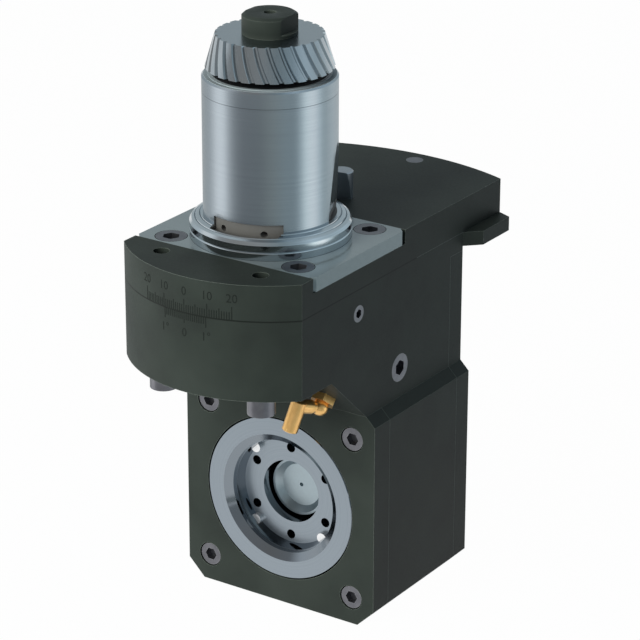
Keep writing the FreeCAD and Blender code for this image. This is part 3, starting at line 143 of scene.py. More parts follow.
def blackenedSteel():  # black oxide on milled steel: satin, a little green, mottled, with a painted highlight along the edges
    # edge is the colour of a painted highlight along sharp edges
    look = {"body": "#2E3330", "patch": "#282C2A", "pale": "#343936", "edge": "#6B716C", "highlightEdgeWidth": 0.3 * mm,
            "mottlePerMetre": 34,  # clouds of the oxide bath, 30 mm wide
            "grainPerMetre": 900,  # milled grain of 0.1 mm, drawn 1.1 mm wide so that it shows
            "grainDepth": 0.02 * mm, "smooth": 0.44, "rough": 0.58,
            "seam": "#1A1D1B", "seamHeight": -15.2 * mm, "seamHalf": 0.3 * mm, "seamReach": 61 * mm}
    material, tree, shader = newMaterial("blackenedSteel", {"Metallic": 0.08, "Specular IOR Level": 0.125})
    coords = stretched(tree, (1, 1, 1))
    mottle = addNode(tree, "ShaderNodeTexNoise", {"Scale": look["mottlePerMetre"], "Detail": 4.0},
                     {"Vector": coords})
    shades = [(0.3, look["patch"]), (0.5, look["body"]), (0.75, look["pale"])]
    colour = addNode(tree, "ShaderNodeValToRGB", {"stops": shades}, {"Fac": mottle.outputs["Fac"]})
    # painted highlight: the edge colour laid on sharp edges
    edges = addNode(tree, "ShaderNodeMix", {"data_type": "RGBA", 7: linearColour(look["edge"])},
                    {0: edgeMask(tree, look["highlightEdgeWidth"]), 6: colour.outputs["Color"]})
    seam = nearAxis(tree, look["seamReach"], look["seamHeight"] - look["seamHalf"],
                    look["seamHeight"] + look["seamHalf"])  # the line between arc and swivel body
    dressed = addNode(tree, "ShaderNodeMix", {"data_type": "RGBA", 7: linearColour(look["seam"])},
                      {0: seam, 6: edges.outputs[2]})
    grain = addNode(tree, "ShaderNodeTexNoise", {"Scale": look["grainPerMetre"], "Detail": 3.0},
                    {"Vector": coords})
    rough = addNode(tree, "ShaderNodeMapRange", {"To Min": look["smooth"], "To Max": look["rough"]},
                    {"Value": grain.outputs["Fac"]})
    bump = addNode(tree, "ShaderNodeBump", {"Strength": 0.05, "Distance": look["grainDepth"]},
                   {"Height": grain.outputs["Fac"]})
    plug(tree, shader, {"Base Color": dressed.outputs[2], "Roughness": rough.outputs["Result"],
                        "Normal": bump.outputs["Normal"]})
    return material


groundScratch = {"perMetre": 400,  # scratches of 0.05 mm, drawn 2.5 mm wide so that they show
                 "depth": 0.01 * mm, "roughSpread": 0.15}


def groundSteel(name, look, direction):  # ground: fine straight scratches along one way, soft reflections
    material, tree, shader = newMaterial(name, {"Metallic": look["metal"]})
    scratches = addNode(tree, "ShaderNodeTexNoise", {"Scale": groundScratch["perMetre"], "Detail": 3.0},
                        {"Vector": stretched(tree, direction)})
    shades = [(0.3, look["streak"]), (0.7, look["body"])]
    colour = addNode(tree, "ShaderNodeValToRGB", {"stops": shades}, {"Fac": scratches.outputs["Fac"]})
    spread = look["rough"] * groundScratch["roughSpread"]
    limits = {"To Min": look["rough"] - spread, "To Max": look["rough"] + spread}
    rough = addNode(tree, "ShaderNodeMapRange", limits, {"Value": scratches.outputs["Fac"]})
    bump = addNode(tree, "ShaderNodeBump", {"Strength": 0.015, "Distance": groundScratch["depth"]},
                   {"Height": scratches.outputs["Fac"]})
    plug(tree, shader, {"Base Color": colour.outputs["Color"], "Roughness": rough.outputs["Result"],
                        "Normal": bump.outputs["Normal"]})
    return material


def facedSteel():  # faced on a lathe in the finest rings, its bores polished so that they mirror the face, their walls darkened by painted shade
    look = {"body": "#98A2AA", "ring": "#949EA6", "rough": 0.33, "axisHeight": -121.8 * mm,
            "ringsPerMetre": 1400,  # feed rings of 0.1 mm, drawn 0.7 mm apart so that they show
            # bore: the darker colour of the walls, painted shade
            "bore": "#80888F", "boreRough": 0.1, "faceFrom": 0.9, "boreFrom": 0.8}
    material, tree, shader = newMaterial("facedSteel", {"Metallic": 1.0})
    place = addNode(tree, "ShaderNodeTexCoord")
    facing = addNode(tree, "ShaderNodeSeparateXYZ", links={"Vector": place.outputs["Normal"]})
    along = addNode(tree, "ShaderNodeMath", {"operation": "ABSOLUTE"}, {0: facing.outputs["Y"]})
    bored = addNode(tree, "ShaderNodeMapRange", {"From Min": look["faceFrom"], "From Max": look["boreFrom"]},
                    {"Value": along.outputs[0]}).outputs["Result"]
    rough = addNode(tree, "ShaderNodeMapRange", {"To Min": look["rough"], "To Max": look["boreRough"]},
                    {"Value": bored})
    centred = addNode(tree, "ShaderNodeVectorMath", {"operation": "SUBTRACT", 1: (0, 0, look["axisHeight"])},
                      {0: place.outputs["Object"]})
    flat = addNode(tree, "ShaderNodeVectorMath", {"operation": "MULTIPLY", 1: (1, 0, 1)},
                   {0: centred.outputs["Vector"]})
    reach = addNode(tree, "ShaderNodeVectorMath", {"operation": "LENGTH"}, {0: flat.outputs["Vector"]})
    rings = addNode(tree, "ShaderNodeTexNoise", {"noise_dimensions": "1D", "Scale": look["ringsPerMetre"]},
                    {"W": reach.outputs["Value"]})
    shades = [(0.35, look["ring"]), (0.65, look["body"])]
    colour = addNode(tree, "ShaderNodeValToRGB", {"stops": shades}, {"Fac": rings.outputs["Fac"]})
    # painted shade: walls that face away from the Y axis take the darker bore colour
    both = addNode(tree, "ShaderNodeMix", {"data_type": "RGBA", 7: linearColour(look["bore"])},
                   {0: bored, 6: colour.outputs["Color"]})
    plug(tree, shader, {"Base Color": both.outputs[2], "Roughness": rough.outputs["Result"]})
    return material


turnedSurface = {"stretch": (0.003, 0.003, 1),  # rings lie flat round Z
                 "milled": "#6B6968", "rim": "#A3ACB2", "dullRough": 0.5, "dullMetal": 0.4,
                 "pocketLow": 6.9 * mm, "rimHeight": 1 * mm,
                 "seamColour": "#6C7378", "seamHalf": 0.12 * mm, "seamReach": 40 * mm}


def turnedSteel(name, ownLook):  # turned or ground round: rings draw reflections into upright bands
    look = {**turnedSurface, **ownLook}
    material, tree, shader = newMaterial(name, {"Anisotropic": look["anisotropic"]})
    rings = addNode(tree, "ShaderNodeTexNoise", {"Scale": look["ringsPerMetre"], "Detail": 2.0},
                    {"Vector": stretched(tree, look["stretch"])})
    shades = [(0.3, look["streak"]), (0.7, look["body"])]
    colour = addNode(tree, "ShaderNodeValToRGB", {"stops": shades}, {"Fac": rings.outputs["Fac"]})
    pocket = nearAxis(tree, look["pocketRadius"], look["pocketLow"], look["pocketHigh"])
    rim = nearAxis(tree, look["rimRadius"], look["rimLow"], look["rimLow"] + look["rimHeight"])
    dull = addNode(tree, "ShaderNodeMath", {"operation": "MAXIMUM"}, {0: pocket, 1: rim}).outputs[0]
    plain = addNode(tree, "ShaderNodeMix", {"data_type": "RGBA", 6: linearColour(look["milled"]),
                                            7: linearColour(look["rim"])}, {0: rim})
    both = addNode(tree, "ShaderNodeMix", {"data_type": "RGBA"},
                   {0: dull, 6: colour.outputs["Color"], 7: plain.outputs[2]})
    rough = addNode(tree, "ShaderNodeMapRange", {"To Min": look["rough"], "To Max": look["dullRough"]},
                    {"Value": dull})
    metal = addNode(tree, "ShaderNodeMapRange", {"To Min": 1.0, "To Max": look["dullMetal"]}, {"Value": dull})
    seam = nearAxis(tree, look["seamReach"], look["seam"] - look["seamHalf"], look["seam"] + look["seamHalf"])
    lined = addNode(tree, "ShaderNodeMix", {"data_type": "RGBA", 7: linearColour(look["seamColour"])},
                    {0: seam, 6: both.outputs[2]})
    around = addNode(tree, "ShaderNodeTangent", {"direction_type": "RADIAL", "axis": "Z"})
    plug(tree, shader, {"Base Color": lined.outputs[2], "Roughness": rough.outputs["Result"],
                        "Metallic": metal.outputs["Result"], "Tangent": around.outputs["Tangent"]})
    return material


def screwSteel():  # phosphated steel screws: even mid grey, soft sheen, a painted highlight along the edges
    # edge is the colour of a painted highlight along sharp edges
    look = {"body": "#77777C", "patch": "#68686E", "edge": "#A3A3A8", "highlightEdgeWidth": 0.25 * mm,
            "mottlePerMetre": 240}  # phosphate crystals of 0.02 mm, drawn as 4 mm patches so that they show
    material, tree, shader = newMaterial("screwSteel", {"Metallic": 0.9, "Roughness": 0.36})
    mottle = addNode(tree, "ShaderNodeTexNoise", {"Scale": look["mottlePerMetre"], "Detail": 3.0},
                     {"Vector": stretched(tree, (1, 1, 1))})
    shades = [(0.3, look["patch"]), (0.7, look["body"])]
    colour = addNode(tree, "ShaderNodeValToRGB", {"stops": shades}, {"Fac": mottle.outputs["Fac"]})
    # painted highlight: the edge colour laid on sharp edges
    edges = addNode(tree, "ShaderNodeMix", {"data_type": "RGBA", 7: linearColour(look["edge"])},
                    {0: edgeMask(tree, look["highlightEdgeWidth"]), 6: colour.outputs["Color"]})
    plug(tree, shader, {"Base Color": edges.outputs[2]})
    return material


def gearSteel():  # cut and hardened teeth: bright flanks, painted shade darkening each root
    look = {"body": "#A4ADB2", "root": "#5C6265", "rootShadeWidth": 1.0 * mm, "smooth": 0.18, "rough": 0.3,
            "scratchesPerMetre": 700,  # cutter marks of 0.1 mm, drawn 1.4 mm wide so that they show
            "stretch": (1, 1, 0.2)}  # they run up the flanks
    material, tree, shader = newMaterial("gearSteel", {"Metallic": 1.0})
    # painted shade: ambient occlusion darkens the roots to the root colour
    rootOcclusion = addNode(tree, "ShaderNodeAmbientOcclusion", {"samples": 6, "Distance": look["rootShadeWidth"]})
    shades = [(0.2, look["root"]), (0.7, look["body"])]
    colour = addNode(tree, "ShaderNodeValToRGB", {"stops": shades}, {"Fac": rootOcclusion.outputs["AO"]})
    scratches = addNode(tree, "ShaderNodeTexNoise", {"Scale": look["scratchesPerMetre"], "Detail": 3.0},
                        {"Vector": stretched(tree, look["stretch"])})
    rough = addNode(tree, "ShaderNodeMapRange", {"To Min": look["smooth"], "To Max": look["rough"]},
                    {"Value": scratches.outputs["Fac"]})
    plug(tree, shader, {"Base Color": colour.outputs["Color"], "Roughness": rough.outputs["Result"]})
    return material


def nozzleBrass():  # turned brass: warm, polished, very slightly cloudy
    look = {"body": "#F3C27C", "cloud": "#EAB870",
            "cloudsPerMetre": 500}  # handling marks 2 mm wide
    material, tree, shader = newMaterial("nozzleBrass", {"Metallic": 0.8, "Roughness": 0.28})
    clouds = addNode(tree, "ShaderNodeTexNoise", {"Scale": look["cloudsPerMetre"], "Detail": 3.0},
                     {"Vector": stretched(tree, (1, 1, 1))})
    shades = [(0.3, look["cloud"]), (0.7, look["body"])]
    colour = addNode(tree, "ShaderNodeValToRGB", {"stops": shades}, {"Fac": clouds.outputs["Fac"]})
    plug(tree, shader, {"Base Color": colour.outputs["Color"]})
    return material


def nitrileRubber():  # moulded seal rubber, near black and dull. The shank's seal has it in a pressed steel case
    look = {"body": "#17171A", "grain": "#0E0E0F", "rough": 0.6, "lipRadius": 23.4 * mm,
            "grainPerMetre": 1500,  # mould grain of 0.1 mm, drawn 0.7 mm wide so that it shows
            "case": "#A3ACB2", "caseRough": 0.3, "caseMetal": 0.3, "caseRadius": 30 * mm,
            "caseLow": 60 * mm, "caseHigh": 80 * mm}
    material, tree, shader = newMaterial("nitrileRubber", {})
    whole = nearAxis(tree, look["caseRadius"], look["caseLow"], look["caseHigh"])
    lip = nearAxis(tree, look["lipRadius"], look["caseLow"], look["caseHigh"])
    case = addNode(tree, "ShaderNodeMath", {"operation": "SUBTRACT"}, {0: whole, 1: lip}).outputs[0]
    rough = addNode(tree, "ShaderNodeMapRange", {"To Min": look["rough"], "To Max": look["caseRough"]},
                    {"Value": case})
    metal = addNode(tree, "ShaderNodeMath", {"operation": "MULTIPLY", 1: look["caseMetal"]}, {0: case})
    grain = addNode(tree, "ShaderNodeTexNoise", {"Scale": look["grainPerMetre"]},
                    {"Vector": stretched(tree, (1, 1, 1))})
    shades = [(0.3, look["grain"]), (0.7, look["body"])]
    colour = addNode(tree, "ShaderNodeValToRGB", {"stops": shades}, {"Fac": grain.outputs["Fac"]})
    both = addNode(tree, "ShaderNodeMix", {"data_type": "RGBA", 7: linearColour(look["case"])},
                   {0: case, 6: colour.outputs["Color"]})
    plug(tree, shader, {"Base Color": both.outputs[2], "Roughness": rough.outputs["Result"],
                        "Metallic": metal.outputs[0]})
    return material


def scalePaint():  # black lacquer wiped into engraved lines: matt, a little worn
    look = {"body": "#212422", "worn": "#191C1A",
            "grainPerMetre": 2500}  # lacquer grain of 0.05 mm, drawn 0.4 mm wide so that it shows
    material, tree, shader = newMaterial("scalePaint", {"Roughness": 0.75, "Specular IOR Level": 0.15})
    grain = addNode(tree, "ShaderNodeTexNoise", {"Scale": look["grainPerMetre"]},
                    {"Vector": stretched(tree, (1, 1, 1))})
    shades = [(0.3, look["worn"]), (0.7, look["body"])]
    colour = addNode(tree, "ShaderNodeValToRGB", {"stops": shades}, {"Fac": grain.outputs["Fac"]})
    plug(tree, shader, {"Base Color": colour.outputs["Color"]})
    return material


finishes = {
    "black": blackenedSteel(),
    # Ground inner pieces: even grey, drawn out streaks
    "ground": groundSteel("groundSteel", {"body": "#8D969B", "streak": "#889196", "rough": 0.32, "metal": 1.0},
                          (0.02, 1, 1)),
    # The flange plate, ground finer: it mirrors the shank
    "plate": groundSteel("plateSteel", {"body": "#8C969A", "streak": "#889296", "rough": 0.14, "metal": 0.55},
                         (0.02, 1, 1)),
    # Satin cap in the bore: pale, soft, no direction
    "cap": groundSteel("satinSteel", {"body": "#B3C2C8", "streak": "#ADBBC1", "rough": 0.42, "metal": 1.0},
                       (1, 1, 1)),
    "spindle": facedSteel(),
    # Polished locating pin: upright streaks, a darker sheen
    "polishedPin": groundSteel("polishedPin", {"body": "#A8AFB6", "streak": "#A1A8AF", "rough": 0.3,
                                               "metal": 0.65}, (1, 1, 0.05)),
    # Plated drive pins, almost white: the white is a painted highlight
    "pin": groundSteel("platedPinHighlight", {"body": "#FFFFFF", "streak": "#F2F4F5", "rough": 0.35, "metal": 1.0},
                       (1, 0.05, 1)),
    # The shank, ground round: upright bands of light and dark
    "turned": turnedSteel("turnedSteel", {"body": "#A3ACB2", "streak": "#9CA5AC",
                                          "ringsPerMetre": 2600,  # feed rings of 0.1 mm, 0.4 mm apart to show
                                          "rough": 0.2, "anisotropic": 0.75,
                                          "pocketRadius": 27.2 * mm, "pocketHigh": 13.05 * mm,
                                          "rimRadius": 26.9 * mm, "rimLow": 67.9 * mm, "seam": 61.1 * mm}),
    # Its collar, polished: clearer and paler
    "collar": turnedSteel("collarSteel", {"body": "#BCC5CA", "streak": "#B2BBC0",
                                          "ringsPerMetre": 1900,  # the same, 0.5 mm apart
                                          "rough": 0.16, "anisotropic": 0.2,
                                          "pocketRadius": 30.52 * mm, "pocketHigh": 8.5 * mm,
                                          "rimRadius": 0, "rimLow": 9.3 * mm, "seam": 0}),  # no rim
    "screw": screwSteel(),
    "gear": gearSteel(),
    "brass": nozzleBrass(),
    "rubber": nitrileRubber(),
    "paint": scalePaint(),
}
print("finishes ready")

nodeFinish = {
    "black": ["upper_plate", "swivel_body", "front_cover", "rear_cover", "gear_bolt", "counter_nut",
              "spindle_nut"],
    "plate": ["flange_plate"],
    "ground": ["clamp_washers", "gear_key", "counter_shaft", "counter_spacers", "spindle_spacers",
               "drive_shaft", "shaft_spacer"] + [name for name in nodes if "bearing" in name],
    "spindle": ["whirling_spindle"],
    "pin": ["drive_pins"],
    "cap": ["bore_cap"],
    "turned": ["shank_sleeve", "end_ring"],
    "collar": ["shank_collar"],
    "screw": ["flange_screws", "front_clamp_screws", "rear_clamp_screw", "front_cover_screws",
              "rear_cover_screws", "set_screw", "coolant_plug", "locating_pin", "lower_circlip", "rear_plug"],
    "gear": ["drive_gear", "drive_pinion", "counter_bevel_gear", "counter_spur_gear", "spindle_gear"],
    "brass": ["nozzle", "nozzle_base"],
    "rubber": ["shaft_seal", "spindle_seal"],
}


def dress(piece, finish):
    piece.data.materials.clear()
    piece.data.materials.append(finishes[finish])


for finish, names in nodeFinish.items():
    for name in names:
        dress(nodes[name], finish)
print("CAD pieces dressed")


# Small tools for meshes

nearly = 0.01 * mm  # points closer than this count as one
roundSteps = 96  # faces round a turned piece


def pickNothing():
    if bpy.context.mode != "OBJECT":
        bpy.ops.object.mode_set(mode="OBJECT")
    bpy.ops.object.select_all(action="DESELECT")


def pickOnly(piece):
    pickNothing()
    piece.select_set(True)
    bpy.context.view_layer.objects.active = piece


def selectEdges(piece, wanted):  # edges whose two ends pass a test, left selected in edit mode
    bpy.ops.object.mode_set(mode="EDIT")
    bpy.ops.mesh.select_mode(type="EDGE")
    bpy.ops.mesh.select_all(action="DESELECT")
    bpy.ops.object.mode_set(mode="OBJECT")
    for edge in piece.data.edges:
        edge.select = wanted(*[piece.data.vertices[v].co for v in edge.vertices])
    bpy.ops.object.mode_set(mode="EDIT")


def joined(pieces, name):
    pickNothing()
    for piece in pieces:
        piece.select_set(True)
    bpy.context.view_layer.objects.active = pieces[0]
    bpy.ops.object.join()
    whole = bpy.context.object
    whole.name = name
    bpy.ops.object.transform_apply(location=True, rotation=True, scale=True)
    return whole


def drawOutline(points):  # a chain of edges, point by point, left open in edit mode
    pickNothing()
    bpy.ops.mesh.primitive_plane_add(size=mm, enter_editmode=True, location=points[0])
    bpy.ops.mesh.select_mode(type="VERT")
    bpy.ops.mesh.merge(type="CENTER")
    for last, point in zip(points, points[1:]):
        bpy.ops.mesh.extrude_region_move(TRANSFORM_OT_translate={"value": Vector(point) - Vector(last)})
    return bpy.context.object


def spunPiece(profile, name):  # profile of (radius, height), spun round the Z axis
    piece = drawOutline([(radius, 0, height) for radius, height in profile])
    bpy.ops.mesh.select_all(action="SELECT")
    bpy.ops.mesh.spin(steps=roundSteps, angle=2 * math.pi, center=(0, 0, 0), axis=(0, 0, 1))
    bpy.ops.mesh.select_all(action="SELECT")
    bpy.ops.mesh.remove_doubles(threshold=nearly)
    bpy.ops.mesh.normals_make_consistent(inside=False)
    bpy.ops.object.mode_set(mode="OBJECT")
    bpy.ops.object.transform_apply(location=True)
    piece.name = name
    return piece


def combine(piece, other, way):  # a boolean with a piece that is used up in it
    pickOnly(piece)
    bpy.ops.object.modifier_add(type="BOOLEAN")
    step = piece.modifiers[-1]
    step.operation, step.object = way, other
    bpy.ops.object.modifier_apply(modifier=step.name)
    bpy.data.objects.remove(other)


# Degree scale engraved on the front arc, and its vernier below the seam

scaleSize = {"radius": 60 * mm, "seam": -15.2 * mm, "seamGap": 0.15 * mm, "proud": 0.03 * mm, "sunk": 0.12 * mm,
             "line": 0.46 * mm, "round": 0.3, "tick": 3.4 * mm, "fiveTick": 4.4 * mm, "tenTick": 5.6 * mm,
             "digit": 3.7 * mm, "fontShare": 1.4, "digitWidth": 0.95, "digitHeight": -6.2 * mm, "range": 20,
             "vernierSpan": 9.5, "vernierLines": 20, "vernierTick": 2.9 * mm, "vernierLong": 4.3 * mm,
             "vernierDigitHeight": -23.7 * mm}
markDepth = scaleSize["proud"] + scaleSize["sunk"]
markMiddle = (scaleSize["proud"] - scaleSize["sunk"]) / 2


def onArc(piece, radius):  # wraps a flat piece drawn in XZ round the Z axis, its y kept as depth
    for vertex in piece.data.vertices:
        across, depth, height = vertex.co
        angle = across / radius
        vertex.co = ((radius + depth) * math.sin(angle), -(radius + depth) * math.cos(angle), height)


def cutLine(angle, start, length):  # one engraved line with rounded ends, drawn flat
    pickNothing()
    bpy.ops.mesh.primitive_cube_add(size=1)
    line = bpy.context.object
    across = math.radians(angle) * scaleSize["radius"]
    line.data.transform(Matrix.Diagonal((scaleSize["line"], markDepth, length, 1)))
    selectEdges(line, lambda a, b: abs(a.y - b.y) > markDepth / 2)
    bpy.ops.mesh.bevel(offset=scaleSize["line"] * scaleSize["round"], segments=2)
    bpy.ops.object.mode_set(mode="OBJECT")
    line.data.transform(Matrix.Translation((across, markMiddle, start + length / 2)))
    return line


def digits(text, angle, height):  # an engraved number, drawn flat
    pickNothing()
    bpy.ops.object.text_add()
    letters = bpy.context.object
    letters.data.body = text
    letters.data.align_x, letters.data.align_y = "CENTER", "CENTER"
    letters.data.size = scaleSize["digit"] * scaleSize["fontShare"]
    letters.data.extrude = markDepth / 2
    letters.data.resolution_u = 3
    bpy.ops.object.convert(target="MESH")
    letters = bpy.context.object
    across = math.radians(angle) * scaleSize["radius"]
    upright = Matrix.Rotation(math.radians(90), 4, "X") @ Matrix.Diagonal((scaleSize["digitWidth"], 1, 1, 1))
    letters.data.transform(upright)
    letters.data.transform(Matrix.Translation((across, markMiddle, height)))
    return letters


def engraving(name, pieces, body):
    whole = joined(pieces, name)
    onArc(whole, scaleSize["radius"])
    pickOnly(whole)
    bpy.ops.object.mode_set(mode="EDIT")
    bpy.ops.mesh.select_all(action="SELECT")
    bpy.ops.mesh.normals_make_consistent(inside=False)
    bpy.ops.object.mode_set(mode="OBJECT")
    dress(whole, "paint")
    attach(whole, body)


def tickLength(angle):
    if angle % 10 == 0:
        return scaleSize["tenTick"]
    return scaleSize["fiveTick"] if angle % 5 == 0 else scaleSize["tick"]


def degreeScale():  # a line for each degree above the seam, with numbers at the tens
    size = scaleSize
    marks = [cutLine(angle, size["seam"] + size["seamGap"], tickLength(angle))
             for angle in range(-size["range"], size["range"] + 1)]
    marks += [digits(str(abs(angle)), angle, size["digitHeight"])
              for angle in range(-size["range"], size["range"] + 1, 10)]
    engraving("degreeScale", marks, "upper_unit")


def vernierScale():  # ten lines each way below the seam, numbered at zero and at both ends
    size = scaleSize
    half = size["vernierLines"] // 2
    marks = []
    for number in range(-half, half + 1):
        length = size["vernierLong" if number in (-half, 0, half) else "vernierTick"]
        marks.append(cutLine(number / half * size["vernierSpan"], size["seam"] - size["seamGap"] - length, length))
    marks += [digits(text, angle, size["vernierDigitHeight"])
              for text, angle in (("1°", -size["vernierSpan"]), ("0", 0), ("1°", size["vernierSpan"]))]
    engraving("vernierScale", marks, "swivel_head")


degreeScale()
vernierScale()
print("scale engraved")


# Drive gear with all its teeth: 28 of them, cut shallow and curved

gearSize = {"teeth": 28, "base": 71 * mm, "face": 13.5 * mm, "lowRadius": 26.1 * mm, "topRadius": 22 * mm,
            "twist": 12.5, "curve": -3, "depth": 1.3 * mm, "stations": 7, "hubRadius": 10 * mm, "smooth": 32,
            # half a tooth, as shares of its pitch and its depth, from the root to the crest
            "flank": [(0.5, 1.0), (0.42, 1.0), (0.36, 0.62), (0.31, 0.1), (0.29, 0.0), (0.17, 0.0), (0.06, 0.0)]}


def toothAt(turn, piece):  # a copy with its own mesh, turned to its place round the gear
    pickNothing()
    twin = piece.copy()
    twin.data = piece.data.copy()
    bpy.context.scene.collection.objects.link(twin)
    twin.data.transform(Matrix.Rotation(turn, 4, "Z"))
    return twin


def oneTooth():  # its outline at the wide end, drawn out step by step as it shrinks and turns
    pitch = 2 * math.pi / gearSize["teeth"]
    shares = [(-across, down) for across, down in gearSize["flank"]]
    shares += [(across, down) for across, down in reversed(gearSize["flank"])]
    outline = []
    for across, down in shares:
        radius = gearSize["lowRadius"] - down * gearSize["depth"]
        outline.append((radius * math.sin(across * pitch), -radius * math.cos(across * pitch), gearSize["base"]))
    tooth = drawOutline(outline)
    bpy.ops.mesh.select_all(action="SELECT")
    steps = gearSize["stations"]
    shrink = gearSize["topRadius"] / gearSize["lowRadius"] - 1
    for step in range(1, steps + 1):
        rise = gearSize["face"] / steps
        size = (1 + shrink * step / steps) / (1 + shrink * (step - 1) / steps)
        turn = gearSize["twist"] / steps + gearSize["curve"] * (2 * step / steps - 1 - 1 / steps) / steps
        centre = (0, 0, gearSize["base"] + rise * step)
        bpy.ops.mesh.extrude_region_move(TRANSFORM_OT_translate={"value": (0, 0, rise)})
        bpy.ops.transform.resize(value=(size, size, 1), center_override=centre)
        bpy.ops.transform.rotate(value=math.radians(turn), orient_axis="Z", center_override=centre)
    bpy.ops.object.mode_set(mode="OBJECT")
    bpy.ops.object.transform_apply(location=True)
    return tooth


def driveGear():
    first = oneTooth()
    turns = [2 * math.pi * number / gearSize["teeth"] for number in range(1, gearSize["teeth"])]
    gear = joined([first] + [toothAt(turn, first) for turn in turns], "toothedGear")
    bpy.ops.object.mode_set(mode="EDIT")
    bpy.ops.mesh.select_all(action="SELECT")
    bpy.ops.mesh.remove_doubles(threshold=2 * nearly)
    bpy.ops.object.mode_set(mode="OBJECT")
    top = gearSize["base"] + gearSize["face"]
    for height, radius in ((top, gearSize["topRadius"]), (gearSize["base"], gearSize["lowRadius"])):
        inward = gearSize["hubRadius"] / radius
        selectEdges(gear, lambda a, b: max(abs(a.z - height), abs(b.z - height)) < nearly)
        centre = (0, 0, height)
        bpy.ops.mesh.extrude_region_move(TRANSFORM_OT_translate={"value": (0, 0, 0)})
        bpy.ops.transform.resize(value=(inward, inward, 1), center_override=centre)
        bpy.ops.transform.tosphere(value=1.0, center_override=centre)
        bpy.ops.object.mode_set(mode="OBJECT")
    bpy.ops.object.mode_set(mode="EDIT")
    bpy.ops.mesh.select_mode(type="VERT")
    bpy.ops.mesh.select_all(action="DESELECT")
    bpy.ops.mesh.select_non_manifold()
    bpy.ops.mesh.bridge_edge_loops()
    bpy.ops.mesh.select_all(action="SELECT")
    bpy.ops.mesh.normals_make_consistent(inside=False)
    bpy.ops.object.mode_set(mode="OBJECT")
    bpy.ops.object.shade_smooth_by_angle(angle=math.radians(gearSize["smooth"]))
    dress(gear, "gear")
    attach(gear, "drive_spindle")
    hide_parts("drive_gear")


driveGear()
print("gear cut")


# Bolt that holds the gear: a round head with two spanner flats above a low flange

boltSize = {"seat": 84.5 * mm, "radius": 11.3 * mm, "height": 8.4 * mm, "chamfer": 1.4 * mm,
            "chamferDrop": 0.9 * mm, "stemRadius": 5 * mm, "stemLength": 24 * mm, "holeRadius": 2.5 * mm,
            "holeDepth": 4.2 * mm, "flat": 9.5 * mm, "ledge": 1.5 * mm, "edge": 0.25 * mm, "sharp": 30,
            "smooth": 35}


def cutAway(piece, low, high):  # takes a box out of a piece
    pickNothing()
    bpy.ops.mesh.primitive_cube_add(size=1)
    cutter = bpy.context.object
    size, middle = Vector(high) - Vector(low), (Vector(high) + Vector(low)) / 2
    cutter.data.transform(Matrix.Translation(middle) @ Matrix.Diagonal((*size, 1)))
    combine(piece, cutter, "DIFFERENCE")


def gearBolt():
    size = boltSize
    top = size["seat"] + size["height"]
    foot = size["seat"] - size["stemLength"]
    bolt = spunPiece([(0, foot), (size["stemRadius"], foot),
                      (size["stemRadius"], size["seat"]), (size["radius"], size["seat"]),
                      (size["radius"], top - size["chamferDrop"]), (size["radius"] - size["chamfer"], top),
                      (size["holeRadius"], top), (size["holeRadius"], top - size["holeDepth"]),
                      (0, top - size["holeDepth"] - size["holeRadius"] / 2)], "gearBolt")
    wide = 2 * size["radius"]
    for side in (-1, 1):
        ends = sorted((side * size["flat"], side * wide))
        cutAway(bolt, (ends[0], -wide, size["seat"] + size["ledge"]), (ends[1], wide, top + wide))
    bpy.ops.object.modifier_add(type="BEVEL")
    bevel = bolt.modifiers[-1]
    bevel.width, bevel.segments = size["edge"], 2
    bevel.limit_method, bevel.angle_limit = "ANGLE", math.radians(size["sharp"])
    bpy.ops.object.modifier_apply(modifier=bevel.name)
    bpy.ops.object.shade_smooth_by_angle(angle=math.radians(size["smooth"]))
    dress(bolt, "black")
    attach(bolt, "drive_spindle")
    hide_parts("gear_bolt")


gearBolt()
print("bolt turned")


# Locating pin behind the shank: round, with a sloped flat on the side that meets the turret

pinSize = {"centre": (0, 52 * mm), "edge": 0.5 * mm, "flatReach": 2.2 * mm, "flatTurn": -78, "flatLean": 9,
           "smooth": 32}


def locatingPin():
    low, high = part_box("locating_pin")
    radius = (high[0] - low[0]) / 2
    edge, (x, y) = pinSize["edge"], pinSize["centre"]
    pin = spunPiece([(0, low[2]), (radius - edge, low[2]), (radius, low[2] + edge), (radius, high[2] - edge),
                     (radius - edge, high[2]), (0, high[2])], "locatingPin")
    turn, lean = math.radians(pinSize["flatTurn"]), math.radians(pinSize["flatLean"])
    outward = (math.cos(turn) * math.cos(lean), math.sin(turn) * math.cos(lean), -math.sin(lean))
    start = (pinSize["flatReach"] * math.cos(turn), pinSize["flatReach"] * math.sin(turn), high[2] / 2)
    bpy.ops.object.mode_set(mode="EDIT")
    bpy.ops.mesh.select_all(action="SELECT")
    bpy.ops.mesh.bisect(plane_co=start, plane_no=outward, use_fill=True, clear_outer=True)
    bpy.ops.object.mode_set(mode="OBJECT")
    pin.data.transform(Matrix.Translation((x, y, 0)))
    bpy.ops.object.shade_smooth_by_angle(angle=math.radians(pinSize["smooth"]))
    dress(pin, "polishedPin")
    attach(pin, "upper_unit")
    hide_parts("locating_pin")


locatingPin()
print("locating pin ground")


# Coolant nozzle, in mm: a ball, a short arm and a wide pipe, which swivel in the hexagon under the neck

nozzleSize = {"ball": (30, -8.56, -67.18), "ballRadius": 3.5, "ballSteps": 14, "ballStart": 170,
              "armRadius": 3.0, "armEnd": 11.6, "neckShare": 0.8, "neckEnd": 3.8, "shoulder": 4.2,
              "elbow": (25.23, -17.53, -64.52), "pipeWay": (-0.2, -0.253, -0.947), "pipeRadius": 3.35,
              "above": 2.4, "below": 11.2, "bore": 1.6, "boreDepth": 7, "lip": 0.35, "smooth": 32}


def spunInMillimetres(profile, name):
    return spunPiece([(radius * mm, height * mm) for radius, height in profile], name)


